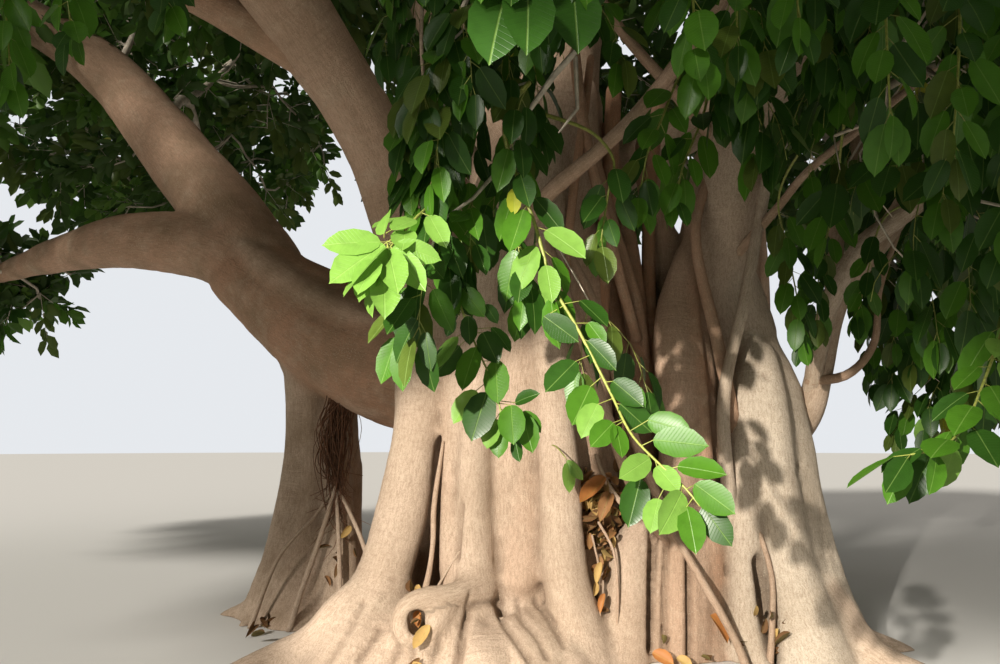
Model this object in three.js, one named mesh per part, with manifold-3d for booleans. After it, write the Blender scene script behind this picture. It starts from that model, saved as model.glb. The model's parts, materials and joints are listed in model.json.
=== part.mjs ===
// A banyan: a broad fig tree whose trunk is a cluster of stems and prop roots grown together,
// with heavy low boughs, a wide crown made of separate masses of leaves, and sprays hanging in front.
// Millimetres, +Z up. The origin is the middle of the flat cut under the main trunk, at ground level.
// The front of the tree, where its trunk cluster is widest and its sprays hang, faces -Y.
import * as THREE from "three";
import { mergeVertices } from "three/addons/utils/BufferGeometryUtils.js";
import Module from "manifold-3d";

const wasm = await Module();
wasm.setup();

// Driving dimensions. Places and lengths below are in metres, and METRE turns them into millimetres.
const METRE = 1000;
const GAP = 0.5; // mm between two pieces that are one piece of wood in the living tree
const ROOTED = 0.5; // how far a stem's centre line runs on below the ground, before its flat cut
const CROWN_HEIGHT = 14.6;
const TRUNK_SIDES = 18;
const STEM_SIDES = 10;
const BOUGH_SIDES = 6;
const ROOT_SIDES = 5;

const BARK_COLOUR = 0xa08468;
const BOUGH_COLOUR = 0x8f6c4e;
const ROOT_COLOUR = 0x8a5d43;
const CROWN_COLOUR = 0x2f5a1e;
const SPRAY_COLOUR = 0x4f8f2a;

const at = (x, y, z) => new THREE.Vector3(x, y, z).multiplyScalar(METRE);

// Directions round an upright stem, seen from above.
const east = 0;
const north = Math.PI / 2;
const west = Math.PI;
const south = -Math.PI / 2;

// A geometry as a closed solid: only positions are kept and shared corners are merged. A solid that
// is grown has every corner moved outwards by that much.
function solidOf(geometry, grow) {
  geometry.deleteAttribute("normal");
  geometry.deleteAttribute("uv");
  const merged = mergeVertices(geometry, 1e-3);
  merged.computeVertexNormals();
  const { position, normal } = merged.attributes;
  for (let i = 0; i < position.array.length; i++) position.array[i] += normal.array[i] * grow;
  return new wasm.Manifold(
    new wasm.Mesh({
      numProp: 3,
      vertProperties: position.array,
      triVerts: new Uint32Array(merged.index.array),
    }),
  );
}

// A limb's radius at a share of its length, from its listed radii, which are evenly spaced along it.
function radiusAt(radii, share) {
  const place = share * (radii.length - 1);
  const before = Math.min(Math.floor(place), radii.length - 2);
  return THREE.MathUtils.lerp(radii[before], radii[before + 1], place - before);
}

// Flutes are ridges that run up a limb. Buttresses spread at its foot and die away upwards.
function ridged(limb, radius, angle, height) {
  let ridgedRadius = radius;
  for (const { count, depth, turn } of limb.flutes ?? []) {
    ridgedRadius *= 1 + depth * Math.cos(count * angle + turn);
  }
  for (const { toward, reach, width, fade } of limb.buttresses ?? []) {
    const off = Math.atan2(Math.sin(angle - toward), Math.cos(angle - toward));
    const fading = Math.max(height, 0) / (fade * METRE);
    ridgedRadius += reach * METRE * Math.exp(-((off / width) ** 2) - fading);
  }
  return ridgedRadius;
}

// A limb is a cylinder bent along a smooth line. An upright limb keeps level cross-sections.
function limbSolid(limb, grow) {
  const { path, radii, sides, steps, upright, grounded } = limb;
  const line = new THREE.CatmullRomCurve3(path, false, "centripetal");
  const frames = line.computeFrenetFrames(steps);
  const tube = new THREE.CylinderGeometry(1, 1, 1, sides, steps);
  const spots = tube.attributes.position;
  for (let i = 0; i < spots.count; i++) {
    const across = spots.getX(i);
    const ahead = -spots.getZ(i);
    const share = spots.getY(i) + 0.5;
    const step = Math.round(share * steps);
    const point = line.getPointAt(share);
    const sideways = upright ? new THREE.Vector3(1, 0, 0) : frames.normals[step];
    const forwards = upright ? new THREE.Vector3(0, 1, 0) : frames.binormals[step];
    const onAxis = Math.hypot(across, ahead) < 0.5;
    const angle = Math.atan2(ahead, across);
    const radius = onAxis ? 0 : ridged(limb, radiusAt(radii, share) * METRE, angle, point.z);
    const lengthened = share < 0.01 ? -2 * grow : share > 0.99 ? 2 * grow : 0;
    point.addScaledVector(frames.tangents[step], lengthened);
    point.addScaledVector(sideways, across * radius);
    point.addScaledVector(forwards, ahead * radius);
    spots.setXYZ(i, point.x, point.y, point.z);
  }
  const solid = solidOf(tube, grow);
  return grounded ? solid.trimByPlane([0, 0, 1], 0) : solid;
}

// An uneven swelling over a ball of leaves, between about -1 and 1.
function swell({ x, y, z }, seed) {
  const { sin } = Math;
  const broad = sin(2.3 * x + seed) + sin(2.9 * y + 1.7 * seed) + sin(2.6 * z + 2.3 * seed);
  const fine = sin(5.1 * x - 1.3 * seed + 2 * y) + sin(4.7 * y + 0.9 * seed - 2 * z);
  return 0.24 * broad + 0.14 * fine;
}

// A mass of leaves is a ball drawn out to its radii and made uneven. One that hangs has a line of
// several points, from its top to its tip, and is bent along it.
function massSolid({ path, radii, seed, detail, unevenness }, grow) {
  const ball = new THREE.OctahedronGeometry(1, detail);
  const hangs = path.length > 1;
  const line = hangs ? new THREE.CatmullRomCurve3(path, false, "centripetal") : undefined;
  const spots = ball.attributes.position;
  const direction = new THREE.Vector3();
  for (let i = 0; i < spots.count; i++) {
    direction.fromBufferAttribute(spots, i).normalize();
    const size = 1 + unevenness * swell(direction, seed);
    const point = hangs ? line.getPointAt(0.5 - 0.5 * direction.z) : path[0].clone();
    point.x += direction.x * radii[0] * METRE * size;
    point.y += direction.y * radii[1] * METRE * size;
    point.z += direction.z * radii[2] * METRE * size;
    spots.setXYZ(i, point.x, point.y, point.z);
  }
  return solidOf(ball, grow);
}

const standing = { upright: true, grounded: true, sides: STEM_SIDES, steps: 5 };

// The stems of the trunk cluster, each from the ground to its fork or to the bough that it joins.
const stems = {
  trunk_main: {
    ...standing,
    sides: TRUNK_SIDES,
    steps: 7,
    path: [
      at(0, 0, -ROOTED), at(0, 0, 0.6), at(-0.04, 0, 1.8), at(0.02, 0.08, 2.9),
      at(0.16, 0.14, 3.8), at(0.26, 0.24, 4.7),
    ],
    radii: [0.76, 0.73, 0.66, 0.62, 0.6, 0.6, 0.6, 0.58, 0.52],
    flutes: [{ count: 5, depth: 0.08, turn: south }, { count: 3, depth: 0.04, turn: 1.2 }],
    buttresses: [
      { toward: south - 0.55, reach: 0.42, width: 0.32, fade: 0.42 },
      { toward: south + 0.35, reach: 0.4, width: 0.36, fade: 0.36 },
      { toward: north + 0.3, reach: 0.6, width: 0.4, fade: 0.5 },
      { toward: west - 0.35, reach: 0.5, width: 0.35, fade: 0.5 },
      { toward: east - 0.1, reach: 0.1, width: 0.4, fade: 0.4 },
    ],
  },
  stem_left: {
    ...standing,
    path: [
      at(-1.2, -0.76, -ROOTED), at(-1.14, -0.6, 0.4), at(-0.95, -0.4, 1.25),
      at(-0.87, -0.24, 1.95), at(-0.88, -0.16, 2.75),
    ],
    radii: [0.44, 0.4, 0.34, 0.29, 0.25, 0.23, 0.25],
    buttresses: [
      { toward: south - 0.5, reach: 0.34, width: 0.5, fade: 0.35 },
      { toward: west, reach: 0.26, width: 0.5, fade: 0.4 },
    ],
  },
  stem_right: {
    ...standing,
    sides: 12,
    path: [
      at(2.02, -0.34, -ROOTED), at(1.97, -0.2, 0.4), at(2.0, -0.1, 1.15), at(2.04, 0, 2.0),
      at(2.1, 0.1, 2.7), at(2.06, 0.16, 3.2),
    ],
    radii: [0.58, 0.54, 0.48, 0.43, 0.39, 0.37, 0.35, 0.26],
    flutes: [{ count: 4, depth: 0.06, turn: 0.2 }],
    buttresses: [
      { toward: south + 0.9, reach: 0.34, width: 0.45, fade: 0.45 },
      { toward: south - 0.5, reach: 0.25, width: 0.35, fade: 0.4 },
      { toward: north - 0.7, reach: 0.55, width: 0.45, fade: 0.5 },
    ],
  },
  stem_right_inner: {
    ...standing,
    path: [
      at(1.2, -0.46, -ROOTED), at(1.26, -0.36, 0.3), at(1.31, -0.2, 1.15), at(1.34, -0.08, 2.0),
      at(1.38, 0.06, 2.9), at(1.54, 0.12, 3.45),
    ],
    radii: [0.34, 0.29, 0.27, 0.26, 0.25, 0.22, 0.13],
    flutes: [{ count: 3, depth: 0.08, turn: 1.9 }],
  },
  stem_right_upper: {
    ...standing,
    grounded: false,
    path: [
      at(1.74, 0.22, 1.7), at(1.75, 0.18, 2.84), at(1.78, -0.1, 3.7), at(1.84, -0.4, 4.5),
      at(1.9, -0.68, 5.2),
    ],
    radii: [0.2, 0.24, 0.27, 0.28, 0.29, 0.28],
  },
  stem_back_left: {
    ...standing,
    path: [
      at(-0.86, 1.35, -ROOTED), at(-0.78, 1.2, 0.5), at(-0.66, 0.95, 1.5), at(-0.5, 0.66, 2.6),
      at(-0.4, 0.6, 3.4),
    ],
    radii: [0.52, 0.42, 0.35, 0.3, 0.28, 0.26],
    buttresses: [{ toward: north + 0.4, reach: 0.4, width: 0.6, fade: 0.4 }],
  },
  stem_back_right: {
    ...standing,
    path: [
      at(1.25, 1.3, -ROOTED), at(1.18, 1.16, 0.5), at(1.1, 0.9, 1.6), at(0.9, 0.6, 2.7),
      at(0.76, 0.46, 3.6),
    ],
    radii: [0.56, 0.46, 0.38, 0.33, 0.3, 0.27],
    flutes: [{ count: 3, depth: 0.07, turn: 0.4 }],
    buttresses: [{ toward: north - 0.3, reach: 0.45, width: 0.6, fade: 0.45 }],
  },
  pillar_left: {
    ...standing,
    path: [
      at(-2.04, 0.98, -ROOTED), at(-2.02, 1.04, 0.5), at(-2.0, 1.08, 1.25), at(-2.06, 1.06, 2.1),
      at(-2.12, 0.98, 2.9),
    ],
    radii: [0.58, 0.48, 0.38, 0.35, 0.37, 0.4],
    flutes: [{ count: 4, depth: 0.07, turn: 0.9 }],
    buttresses: [
      { toward: west + 0.4, reach: 0.26, width: 0.5, fade: 0.35 },
      { toward: south, reach: 0.3, width: 0.5, fade: 0.3 },
    ],
  },
};

const spreading = { sides: BOUGH_SIDES, steps: 5 };

// A bough that is out of sight leaves its stem upwards and levels out toward the mass that it carries.
function arched(from, to, rise, thick, thin) {
  const along = (share, lift) => from.clone().lerp(to, share).add(at(0, 0, rise * lift));
  const radii = [0, 0.4, 0.75, 1].map((share) => THREE.MathUtils.lerp(thick, thin, share));
  return { ...spreading, path: [from, along(0.3, 0.6), along(0.65, 1), to], radii };
}

const boughs = {
  bough_left: {
    ...spreading,
    sides: 8,
    path: [
      at(-0.1, 0.16, 2.2), at(-0.95, 0.4, 2.26), at(-1.6, 0.72, 2.5), at(-2.3, 1.06, 2.95),
      at(-2.95, 1.36, 3.4),
    ],
    radii: [0.52, 0.56, 0.58, 0.58, 0.55, 0.5, 0.42],
  },
  bough_left_low: {
    ...spreading,
    path: [
      at(-2.7, 1.2, 3.3), at(-3.4, 1.44, 3.68), at(-4.3, 1.6, 3.82), at(-5.5, 2.3, 3.86),
      at(-7.2, 3.6, 3.9),
    ],
    radii: [0.36, 0.35, 0.29, 0.22, 0.17, 0.14],
  },
  bough_left_high: {
    ...spreading,
    path: [
      at(-2.6, 1.2, 3.15), at(-3.2, 1.58, 3.95), at(-4.2, 2.0, 5.1), at(-5.2, 2.1, 6.2),
      at(-6.6, 1.6, 7.0),
    ],
    radii: [0.44, 0.43, 0.4, 0.35, 0.27, 0.2],
  },
  bough_front_left: {
    ...spreading,
    sides: 8,
    path: [
      at(-0.88, -0.16, 2.6), at(-0.96, -0.2, 3.0), at(-1.14, -0.34, 3.6), at(-1.34, -0.56, 4.15),
      at(-1.72, -0.9, 4.75), at(-2.6, -2.0, 5.7), at(-3.7, -3.4, 6.6),
    ],
    radii: [0.27, 0.27, 0.28, 0.3, 0.31, 0.25, 0.18],
  },
  bough_front_left_side: arched(at(-1.5, -0.7, 4.4), at(-5.0, -1.0, 7.4), 0.5, 0.24, 0.13),
  bough_right: {
    ...spreading,
    path: [
      at(2.2, 0.06, 1.55), at(2.42, 0.04, 1.85), at(2.52, 0, 2.2), at(2.68, -0.1, 2.85),
      at(3.1, -0.3, 3.45), at(3.6, -0.75, 4.35), at(4.4, -1.9, 5.6),
    ],
    radii: [0.13, 0.135, 0.125, 0.115, 0.105, 0.095, 0.085],
  },
  bough_right_side: {
    ...spreading,
    path: [at(2.52, 0.02, 2.1), at(2.72, 0.12, 2.7), at(2.95, 0.4, 3.6), at(3.5, 0.8, 4.9)],
    radii: [0.09, 0.085, 0.075, 0.06],
  },
  bough_centre: {
    ...spreading,
    path: [
      at(0.26, 0.22, 4.3), at(0.34, 0.3, 5.4), at(0.5, 0.5, 7.4), at(0.45, 0.5, 9.0),
      at(0.5, 0.5, 10.6),
    ],
    radii: [0.42, 0.38, 0.33, 0.27, 0.2],
  },
  bough_back_left: arched(at(0.05, 0.3, 4.1), at(-2.4, 2.9, 8.8), 0.4, 0.34, 0.2),
  bough_back_right: arched(at(0.3, 0.3, 3.9), at(4.6, 4.5, 6.4), 0.5, 0.33, 0.17),
  bough_back: arched(at(0.05, 0.2, 3.5), at(-1.2, 5.8, 6.2), 0.5, 0.33, 0.17),
  bough_right_high: arched(at(1.86, -0.42, 4.5), at(6.2, 0, 6.9), 0.5, 0.26, 0.16),
  bough_front: arched(at(1.88, -0.62, 5.0), at(0.8, -4.9, 7.4), 0.5, 0.24, 0.15),
  bough_right_up: arched(at(1.9, -0.66, 5.1), at(3.4, -1.3, 9.0), 0.3, 0.25, 0.15),
};

const hanging = { sides: ROOT_SIDES, steps: 5 };

// Prop roots: posts and strings of root that run down beside the stems or stand apart from them.
const roots = {
  root_post: {
    ...hanging,
    sides: 7,
    grounded: true,
    path: [
      at(0.98, -0.04, -ROOTED), at(1.0, 0, 0.9), at(1.0, 0.04, 1.95), at(0.92, 0.1, 3.3),
      at(0.74, 0.2, 4.5),
    ],
    radii: [0.13, 0.1, 0.09, 0.085, 0.08],
  },
  root_post_behind: {
    ...hanging,
    sides: 7,
    grounded: true,
    path: [
      at(0.74, -0.1, -ROOTED), at(0.8, 0.08, 0.9), at(0.84, 0.14, 1.95), at(0.72, 0.14, 2.9),
      at(0.52, 0.14, 4.1),
    ],
    radii: [0.14, 0.12, 0.11, 0.1, 0.09],
  },
  root_slant: {
    ...hanging,
    path: [at(1.02, 0.02, 2.3), at(0.96, -0.06, 2.72), at(0.66, -0.2, 3.7), at(0.48, -0.14, 4.5)],
    radii: [0.05, 0.055, 0.06, 0.06],
  },
  root_string_front: {
    ...hanging,
    path: [
      at(0.12, -0.5, 3.3), at(0.26, -0.72, 2.8), at(0.55, -0.74, 1.85), at(0.84, -0.6, 1.1),
      at(1.2, -0.4, 0.7),
    ],
    radii: [0.035, 0.04, 0.042, 0.045],
  },
  root_string_side: {
    ...hanging,
    path: [
      at(0.3, -0.44, 3.2), at(0.5, -0.64, 2.7), at(0.74, -0.62, 1.8), at(1.0, -0.5, 1.15),
      at(1.22, -0.42, 0.9),
    ],
    radii: [0.03, 0.034, 0.038, 0.042],
  },
  root_right_inner: {
    ...hanging,
    path: [
      at(1.62, -0.16, 4.0), at(1.42, -0.28, 3.4), at(1.56, -0.32, 2.4), at(1.66, -0.34, 1.7),
      at(1.68, -0.3, 0.9),
    ],
    radii: [0.055, 0.062, 0.065, 0.07],
  },
  root_right_leaning: {
    ...hanging,
    path: [
      at(2.05, -0.5, 4.6), at(2.24, -0.42, 4.0), at(2.1, -0.42, 3.2), at(1.84, -0.44, 2.3),
      at(1.7, -0.46, 1.5), at(1.72, -0.42, 0.9),
    ],
    radii: [0.06, 0.07, 0.08, 0.085, 0.09],
  },
  root_pillar_back: {
    ...hanging,
    sides: 7,
    grounded: true,
    path: [at(3.3, 3.6, -ROOTED), at(3.26, 3.5, 1.0), at(3.15, 3.4, 3.0), at(3.05, 3.1, 6.1)],
    radii: [0.3, 0.17, 0.14, 0.16, 0.17],
  },
  root_pillar_far: {
    ...hanging,
    sides: 7,
    grounded: true,
    path: [at(-1.0, 3.85, -ROOTED), at(-0.96, 3.76, 1.0), at(-0.9, 3.65, 3.0), at(-0.8, 3.7, 5.6)],
    radii: [0.28, 0.16, 0.13, 0.15, 0.16],
  },
};

// The masses of leaves. BIG ones make the crown, and SMALL ones hang under it and before it.
const BIG = { detail: 3, unevenness: 0.2 };
const SMALL = { detail: 2, unevenness: 0.2 };

function hangingMass(seed, radius, top, middle, tip) {
  return { ...SMALL, seed, radii: [radius, radius * 0.8, radius * 0.5], path: [top, middle, tip] };
}

const masses = {
  spray_left: hangingMass(
    1.3,
    0.22,
    at(-0.5, -3.0, 2.86),
    at(-0.66, -3.4, 2.56),
    at(-0.76, -3.66, 2.26),
  ),
  spray_middle: hangingMass(
    2.1,
    0.2,
    at(-0.42, -2.86, 2.6),
    at(-0.36, -2.98, 2.2),
    at(-0.26, -3.02, 1.72),
  ),
  spray_right: hangingMass(
    3.7,
    0.2,
    at(0.02, -2.96, 2.76),
    at(0.2, -3.24, 2.0),
    at(0.46, -3.66, 1.36),
  ),
  spray_low_right: hangingMass(
    4.2,
    0.24,
    at(2.5, -2.6, 2.8),
    at(2.1, -3.0, 1.86),
    at(1.5, -3.3, 1.46),
  ),
  curtain_centre: { ...SMALL, seed: 5.1, path: [at(-0.24, -2.8, 3.9)], radii: [0.6, 0.5, 1.6] },
  curtain_upper_right: { ...SMALL, seed: 6.1, path: [at(1.05, -2.8, 4.3)], radii: [0.42, 0.5, 1.1] },
  curtain_right: { ...SMALL, seed: 6.6, path: [at(2.3, -2.3, 4.1)], radii: [0.86, 0.8, 1.8] },
  low_right: { ...SMALL, seed: 7.4, path: [at(3.9, 0.1, 3.7)], radii: [1.2, 1.3, 1.8] },
  low_left: { ...SMALL, seed: 27.7, path: [at(-8.3, 4.0, 4.0)], radii: [2.1, 2.2, 1.4] },
  low_front_left: { ...SMALL, seed: 8.3, path: [at(-4.3, -2.2, 5.0)], radii: [1.7, 1.5, 1.2] },
  inner_front: { ...SMALL, seed: 9.2, path: [at(0.6, -2.7, 6.0)], radii: [2.8, 1.5, 1.2] },
  inner_right: { ...SMALL, seed: 10.5, path: [at(3.7, 0.5, 6.2)], radii: [1.9, 1.9, 1.3] },
  inner_back: { ...SMALL, seed: 11.9, path: [at(0.3, 3.3, 6.8)], radii: [2.3, 1.7, 1.3] },
  inner_left: { ...SMALL, seed: 12.4, path: [at(-3.4, 0.7, 7.0)], radii: [1.9, 1.8, 1.2] },
  crown_top: { ...BIG, seed: 13.1, path: [at(0.4, 0.3, CROWN_HEIGHT - 2.7)], radii: [3.3, 3.1, 2.5] },
};

// Two tiers of masses ring the crown, evenly spaced from the front round by the right.
const tiers = [
  {
    names: ["upper_front", "upper_right", "upper_back_right", "upper_back_left", "upper_left"],
    across: 4.8,
    deep: 4.4,
    height: 9.75,
    radii: [3.0, 2.9, 2.3],
    firstSeed: 14.7,
  },
  {
    names: [
      "outer_front",
      "outer_front_right",
      "outer_right",
      "outer_back_right",
      "outer_back",
      "outer_back_left",
      "outer_left",
      "outer_front_left",
    ],
    across: 8.5,
    deep: 7.5,
    height: 6.9,
    radii: [3.3, 3.2, 2.3],
    firstSeed: 19.4,
  },
];

for (const { names, across, deep, height, radii, firstSeed } of tiers) {
  names.forEach((name, i) => {
    const bearing = (2 * Math.PI * i) / names.length;
    const seed = firstSeed + 1.17 * i;
    const level = height + 0.3 * Math.sin(3 * seed);
    const centre = at(across * Math.sin(bearing), -deep * Math.cos(bearing), level);
    masses[name] = { ...BIG, seed, path: [centre], radii };
  });
}

// Each piece in turn is cut back from every earlier one that it meets, so that they touch but never
// overlap. A cut can leave slips of wood or leaf beyond the neighbour, and only the largest part stays.
const placed = [];

function boxesMeet(a, b) {
  const [one, other] = [a.boundingBox(), b.boundingBox()];
  return [0, 1, 2].every((k) => one.min[k] <= other.max[k] && other.min[k] <= one.max[k]);
}

function place(name, shape, finish, solidFrom) {
  let solid = solidFrom(shape, 0);
  for (const earlier of placed) {
    if (boxesMeet(solid, earlier.grown)) solid = solid.subtract(earlier.grown);
  }
  const parts = solid.decompose().sort((a, b) => b.volume() - a.volume());
  placed.push({ name, finish, solid: parts[0], grown: solidFrom(shape, GAP) });
}

function finishOf(color, roughness) {
  return new THREE.MeshStandardMaterial({ color, roughness, metalness: 0 });
}

const bark = finishOf(BARK_COLOUR, 0.85);
const boughBark = finishOf(BOUGH_COLOUR, 0.8);
const rootBark = finishOf(ROOT_COLOUR, 0.75);
const crownLeaves = finishOf(CROWN_COLOUR, 0.45);
const sprayLeaves = finishOf(SPRAY_COLOUR, 0.35);

for (const [name, stem] of Object.entries(stems)) place(name, stem, bark, limbSolid);
for (const [name, bough] of Object.entries(boughs)) place(name, bough, boughBark, limbSolid);
for (const [name, root] of Object.entries(roots)) place(name, root, rootBark, limbSolid);
for (const [name, leaves] of Object.entries(masses)) {
  place(name, leaves, name.startsWith("spray") ? sprayLeaves : crownLeaves, massSolid);
}

function meshOf({ name, finish, solid }) {
  const { numProp, vertProperties, triVerts } = solid.getMesh();
  const corners = new Float32Array((vertProperties.length / numProp) * 3);
  for (let i = 0; i * numProp < vertProperties.length; i++) {
    corners.set(vertProperties.subarray(i * numProp, i * numProp + 3), i * 3);
  }
  const geometry = new THREE.BufferGeometry();
  geometry.setAttribute("position", new THREE.BufferAttribute(corners, 3));
  geometry.setIndex(new THREE.BufferAttribute(triVerts, 1));
  geometry.computeVertexNormals();
  const mesh = new THREE.Mesh(geometry, finish);
  mesh.name = name;
  return mesh;
}

const tree = new THREE.Group();
tree.name = "banyan_tree";
tree.add(...placed.map(meshOf));

export default tree;
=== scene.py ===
import json
import math
from dataclasses import dataclass

import bmesh
import bpy
import numpy as np
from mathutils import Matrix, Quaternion, Vector
from mathutils.bvhtree import BVHTree


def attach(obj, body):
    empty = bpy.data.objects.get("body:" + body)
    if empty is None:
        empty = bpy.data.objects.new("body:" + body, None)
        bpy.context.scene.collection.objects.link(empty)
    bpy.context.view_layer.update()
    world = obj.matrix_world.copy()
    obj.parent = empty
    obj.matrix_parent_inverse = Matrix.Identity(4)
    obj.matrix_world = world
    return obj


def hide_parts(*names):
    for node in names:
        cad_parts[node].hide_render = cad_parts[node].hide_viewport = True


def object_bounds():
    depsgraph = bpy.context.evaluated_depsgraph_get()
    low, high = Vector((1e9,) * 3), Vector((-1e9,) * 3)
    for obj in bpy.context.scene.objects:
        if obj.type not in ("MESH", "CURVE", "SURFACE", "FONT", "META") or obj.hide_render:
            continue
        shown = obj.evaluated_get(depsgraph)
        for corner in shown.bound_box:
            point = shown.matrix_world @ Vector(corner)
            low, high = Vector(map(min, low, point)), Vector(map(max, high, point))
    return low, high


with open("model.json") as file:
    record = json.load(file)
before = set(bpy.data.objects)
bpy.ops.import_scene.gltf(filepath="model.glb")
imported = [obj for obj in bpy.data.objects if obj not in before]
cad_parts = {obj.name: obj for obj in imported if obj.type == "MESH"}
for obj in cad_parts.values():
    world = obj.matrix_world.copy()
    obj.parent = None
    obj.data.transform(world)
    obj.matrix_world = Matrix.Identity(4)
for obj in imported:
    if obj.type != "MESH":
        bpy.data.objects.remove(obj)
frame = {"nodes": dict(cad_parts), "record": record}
CAD_BOX = [list(corner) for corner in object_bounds()]

bl_info = {
    "name": "Banyan Tree",
    "version": (1, 0, 0),
    "blender": (4, 5, 0),
    "location": "View3D > Sidebar > Banyan",
    "description": "Builds a banyan with a fused trunk, hanging roots and a wide crown of single leaves",
    "category": "Add Mesh",
}

# Lengths are metres. The front of the tree faces -Y. Directions round an upright stem, from above.
EAST = 0.0
NORTH = math.pi / 2
WEST = math.pi
SOUTH = -math.pi / 2
UP = np.array([0.0, 0.0, 1.0])
GOLDEN_TURN = 2.4
CROWN_HEART = np.array([0.3, 0.0, 6.5])
BRANCH_GAP = 0.62
ANY_TURN = 2 * math.pi
# The leaves keep this far inside the skin of their mass, and the curtains this far.
INSET = 0.28
CURTAIN_INSET = 0.08
# Masses narrower than this have their branches closer together.
SMALL_MASS = 3.2
# How much a branch saves on its way back to the trunk, from 0 for the shortest twigs.
THRIFT = 0.3
# The rings of a rounded end stand where these angles lie on a ball.
DOME = np.radians([72, 50, 25])
# How many places are compared with a strand at a time.
HANDFUL = 8192

# The tones of the living leaves. Tables of leaves give them by their numbers, from 0.
LEAF_TONES = ["leaf_dark", "leaf_mid", "leaf_bright", "leaf_olive", "leaf_yellow"]
DARK, MID, BRIGHT, OLIVE, YELLOW = range(5)

# The camera stands under the crown, at the eye height of a person, and looks slightly up.
EYE = (-0.25, -6.4, 1.6)
EYE_TILT = 98.5
EYE_LENS = 26.6
# The low light and the place on the trunk's foot that it is aimed at.
LOW_LIGHT = (-3.4, -8.8, 3.3)
LIT_FOOT = (0.8, -0.5, 0.75)


@dataclass
class Strand:
    """A limb of wood. Its radii are spaced evenly along the smooth line through its points."""

    points: list
    radii: list
    upright: bool = False
    flutes: tuple = ()  # each has a count, a depth and a turn
    toes: tuple = ()  # each has a direction, a reach, a width and a height in which it fades
    red: float = 0.0  # how much of the bark is red-brown
    grey: float = 0.0  # how much of it is grey
    fade: float = 0.0  # the length in which each end sinks into the wood that it grows on

    def radii_at(self, along):
        radii = np.interp(along / along[-1], np.linspace(0, 1, len(self.radii)), self.radii)
        if self.fade:
            end = np.minimum(along, along[-1] - along) / min(self.fade, along[-1] * 0.45)
            radii = radii * (0.3 + 0.7 * np.sin(np.clip(end, 0, 1) * math.pi / 2))
        return radii


def stem(points, radii, **details):
    return Strand(points, radii, upright=True, **details)


def rib(points, radii, **details):
    return Strand(points, radii, upright=True, fade=0.5, **details)


# The stems of the trunk cluster, where the solids of the frame have them.
TRUNK_STEMS = {
    "trunk_main": stem([(0, 0, -0.5), (0, 0, 0.6), (-0.04, 0, 1.8), (0.02, 0.08, 2.9), (0.16, 0.14, 3.8),
        (0.26, 0.24, 4.7)], [0.66, 0.6, 0.52, 0.49, 0.49, 0.5, 0.52, 0.52, 0.46],
        flutes=((5, 0.08, SOUTH), (3, 0.04, 1.2)),
        toes=((NORTH + 0.3, 0.6, 0.4, 0.5), (WEST - 0.5, 0.3, 0.3, 0.4)), red=0.25),
    "stem_left": stem([(-1.42, -0.9, -0.5), (-1.3, -0.75, 0.02), (-1.19, -0.62, 0.4), (-1.06, -0.5, 0.86),
        (-1.0, -0.42, 1.18), (-0.95, -0.36, 1.56), (-0.91, -0.3, 1.94), (-0.88, -0.18, 2.75)],
        [0.36, 0.29, 0.24, 0.225, 0.215, 0.2, 0.195, 0.205, 0.22, 0.24], toes=((WEST, 0.16, 0.5, 0.3),)),
    "stem_right": stem([(2.02, -0.34, -0.5), (1.97, -0.2, 0.4), (2.0, -0.1, 1.15), (2.03, 0, 1.8),
        (2.04, 0.08, 2.2), (2.0, 0.14, 2.5)], [0.56, 0.5, 0.44, 0.4, 0.37, 0.35, 0.32, 0.2],
        flutes=((4, 0.06, 0.2),), toes=((SOUTH + 0.9, 0.34, 0.45, 0.45), (SOUTH - 0.5, 0.2, 0.35, 0.4),
        (NORTH - 0.7, 0.55, 0.45, 0.5)), grey=0.8),
    "stem_right_inner": stem([(1.2, -0.46, -0.5), (1.26, -0.36, 0.3), (1.31, -0.2, 1.15),
        (1.34, -0.08, 2.0), (1.38, 0.06, 2.9), (1.54, 0.12, 3.45)],
        [0.32, 0.26, 0.24, 0.24, 0.24, 0.21, 0.12], flutes=((3, 0.08, 1.9),), red=0.5),
    "stem_right_upper": stem([(1.74, 0.22, 1.7), (1.75, 0.18, 2.84), (1.78, -0.1, 3.7), (1.84, -0.4, 4.5),
        (1.9, -0.68, 5.2)], [0.2, 0.24, 0.27, 0.28, 0.29, 0.28], grey=0.15),
    "bough_front_left": Strand([(-0.88, -0.16, 2.6), (-0.96, -0.2, 3.0), (-1.14, -0.34, 3.6),
        (-1.34, -0.56, 4.15), (-1.72, -0.9, 4.75), (-2.6, -2.0, 5.7), (-3.7, -3.4, 6.6)],
        [0.26, 0.27, 0.28, 0.3, 0.31, 0.25, 0.18], red=0.35),
    "stem_back_left": stem([(-0.86, 1.35, -0.5), (-0.78, 1.2, 0.5), (-0.66, 0.95, 1.5), (-0.5, 0.66, 2.6),
        (-0.4, 0.56, 3.4), (-0.2, 0.46, 4.2), (0.02, 0.4, 4.9)],
        [0.52, 0.42, 0.35, 0.3, 0.28, 0.26, 0.24, 0.22],
        toes=((NORTH + 0.4, 0.4, 0.6, 0.4), (WEST, 0.2, 0.4, 0.3)), red=0.3),
    "stem_back_right": stem([(1.25, 1.3, -0.5), (1.18, 1.16, 0.5), (1.1, 0.9, 1.6), (0.9, 0.6, 2.7),
        (0.7, 0.42, 3.6), (0.5, 0.34, 4.4), (0.36, 0.3, 5.1)],
        [0.56, 0.46, 0.38, 0.33, 0.3, 0.27, 0.25, 0.22], flutes=((3, 0.07, 0.4),),
        toes=((NORTH - 0.3, 0.45, 0.6, 0.45), (EAST, 0.2, 0.4, 0.3)), red=0.3),
}

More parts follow.
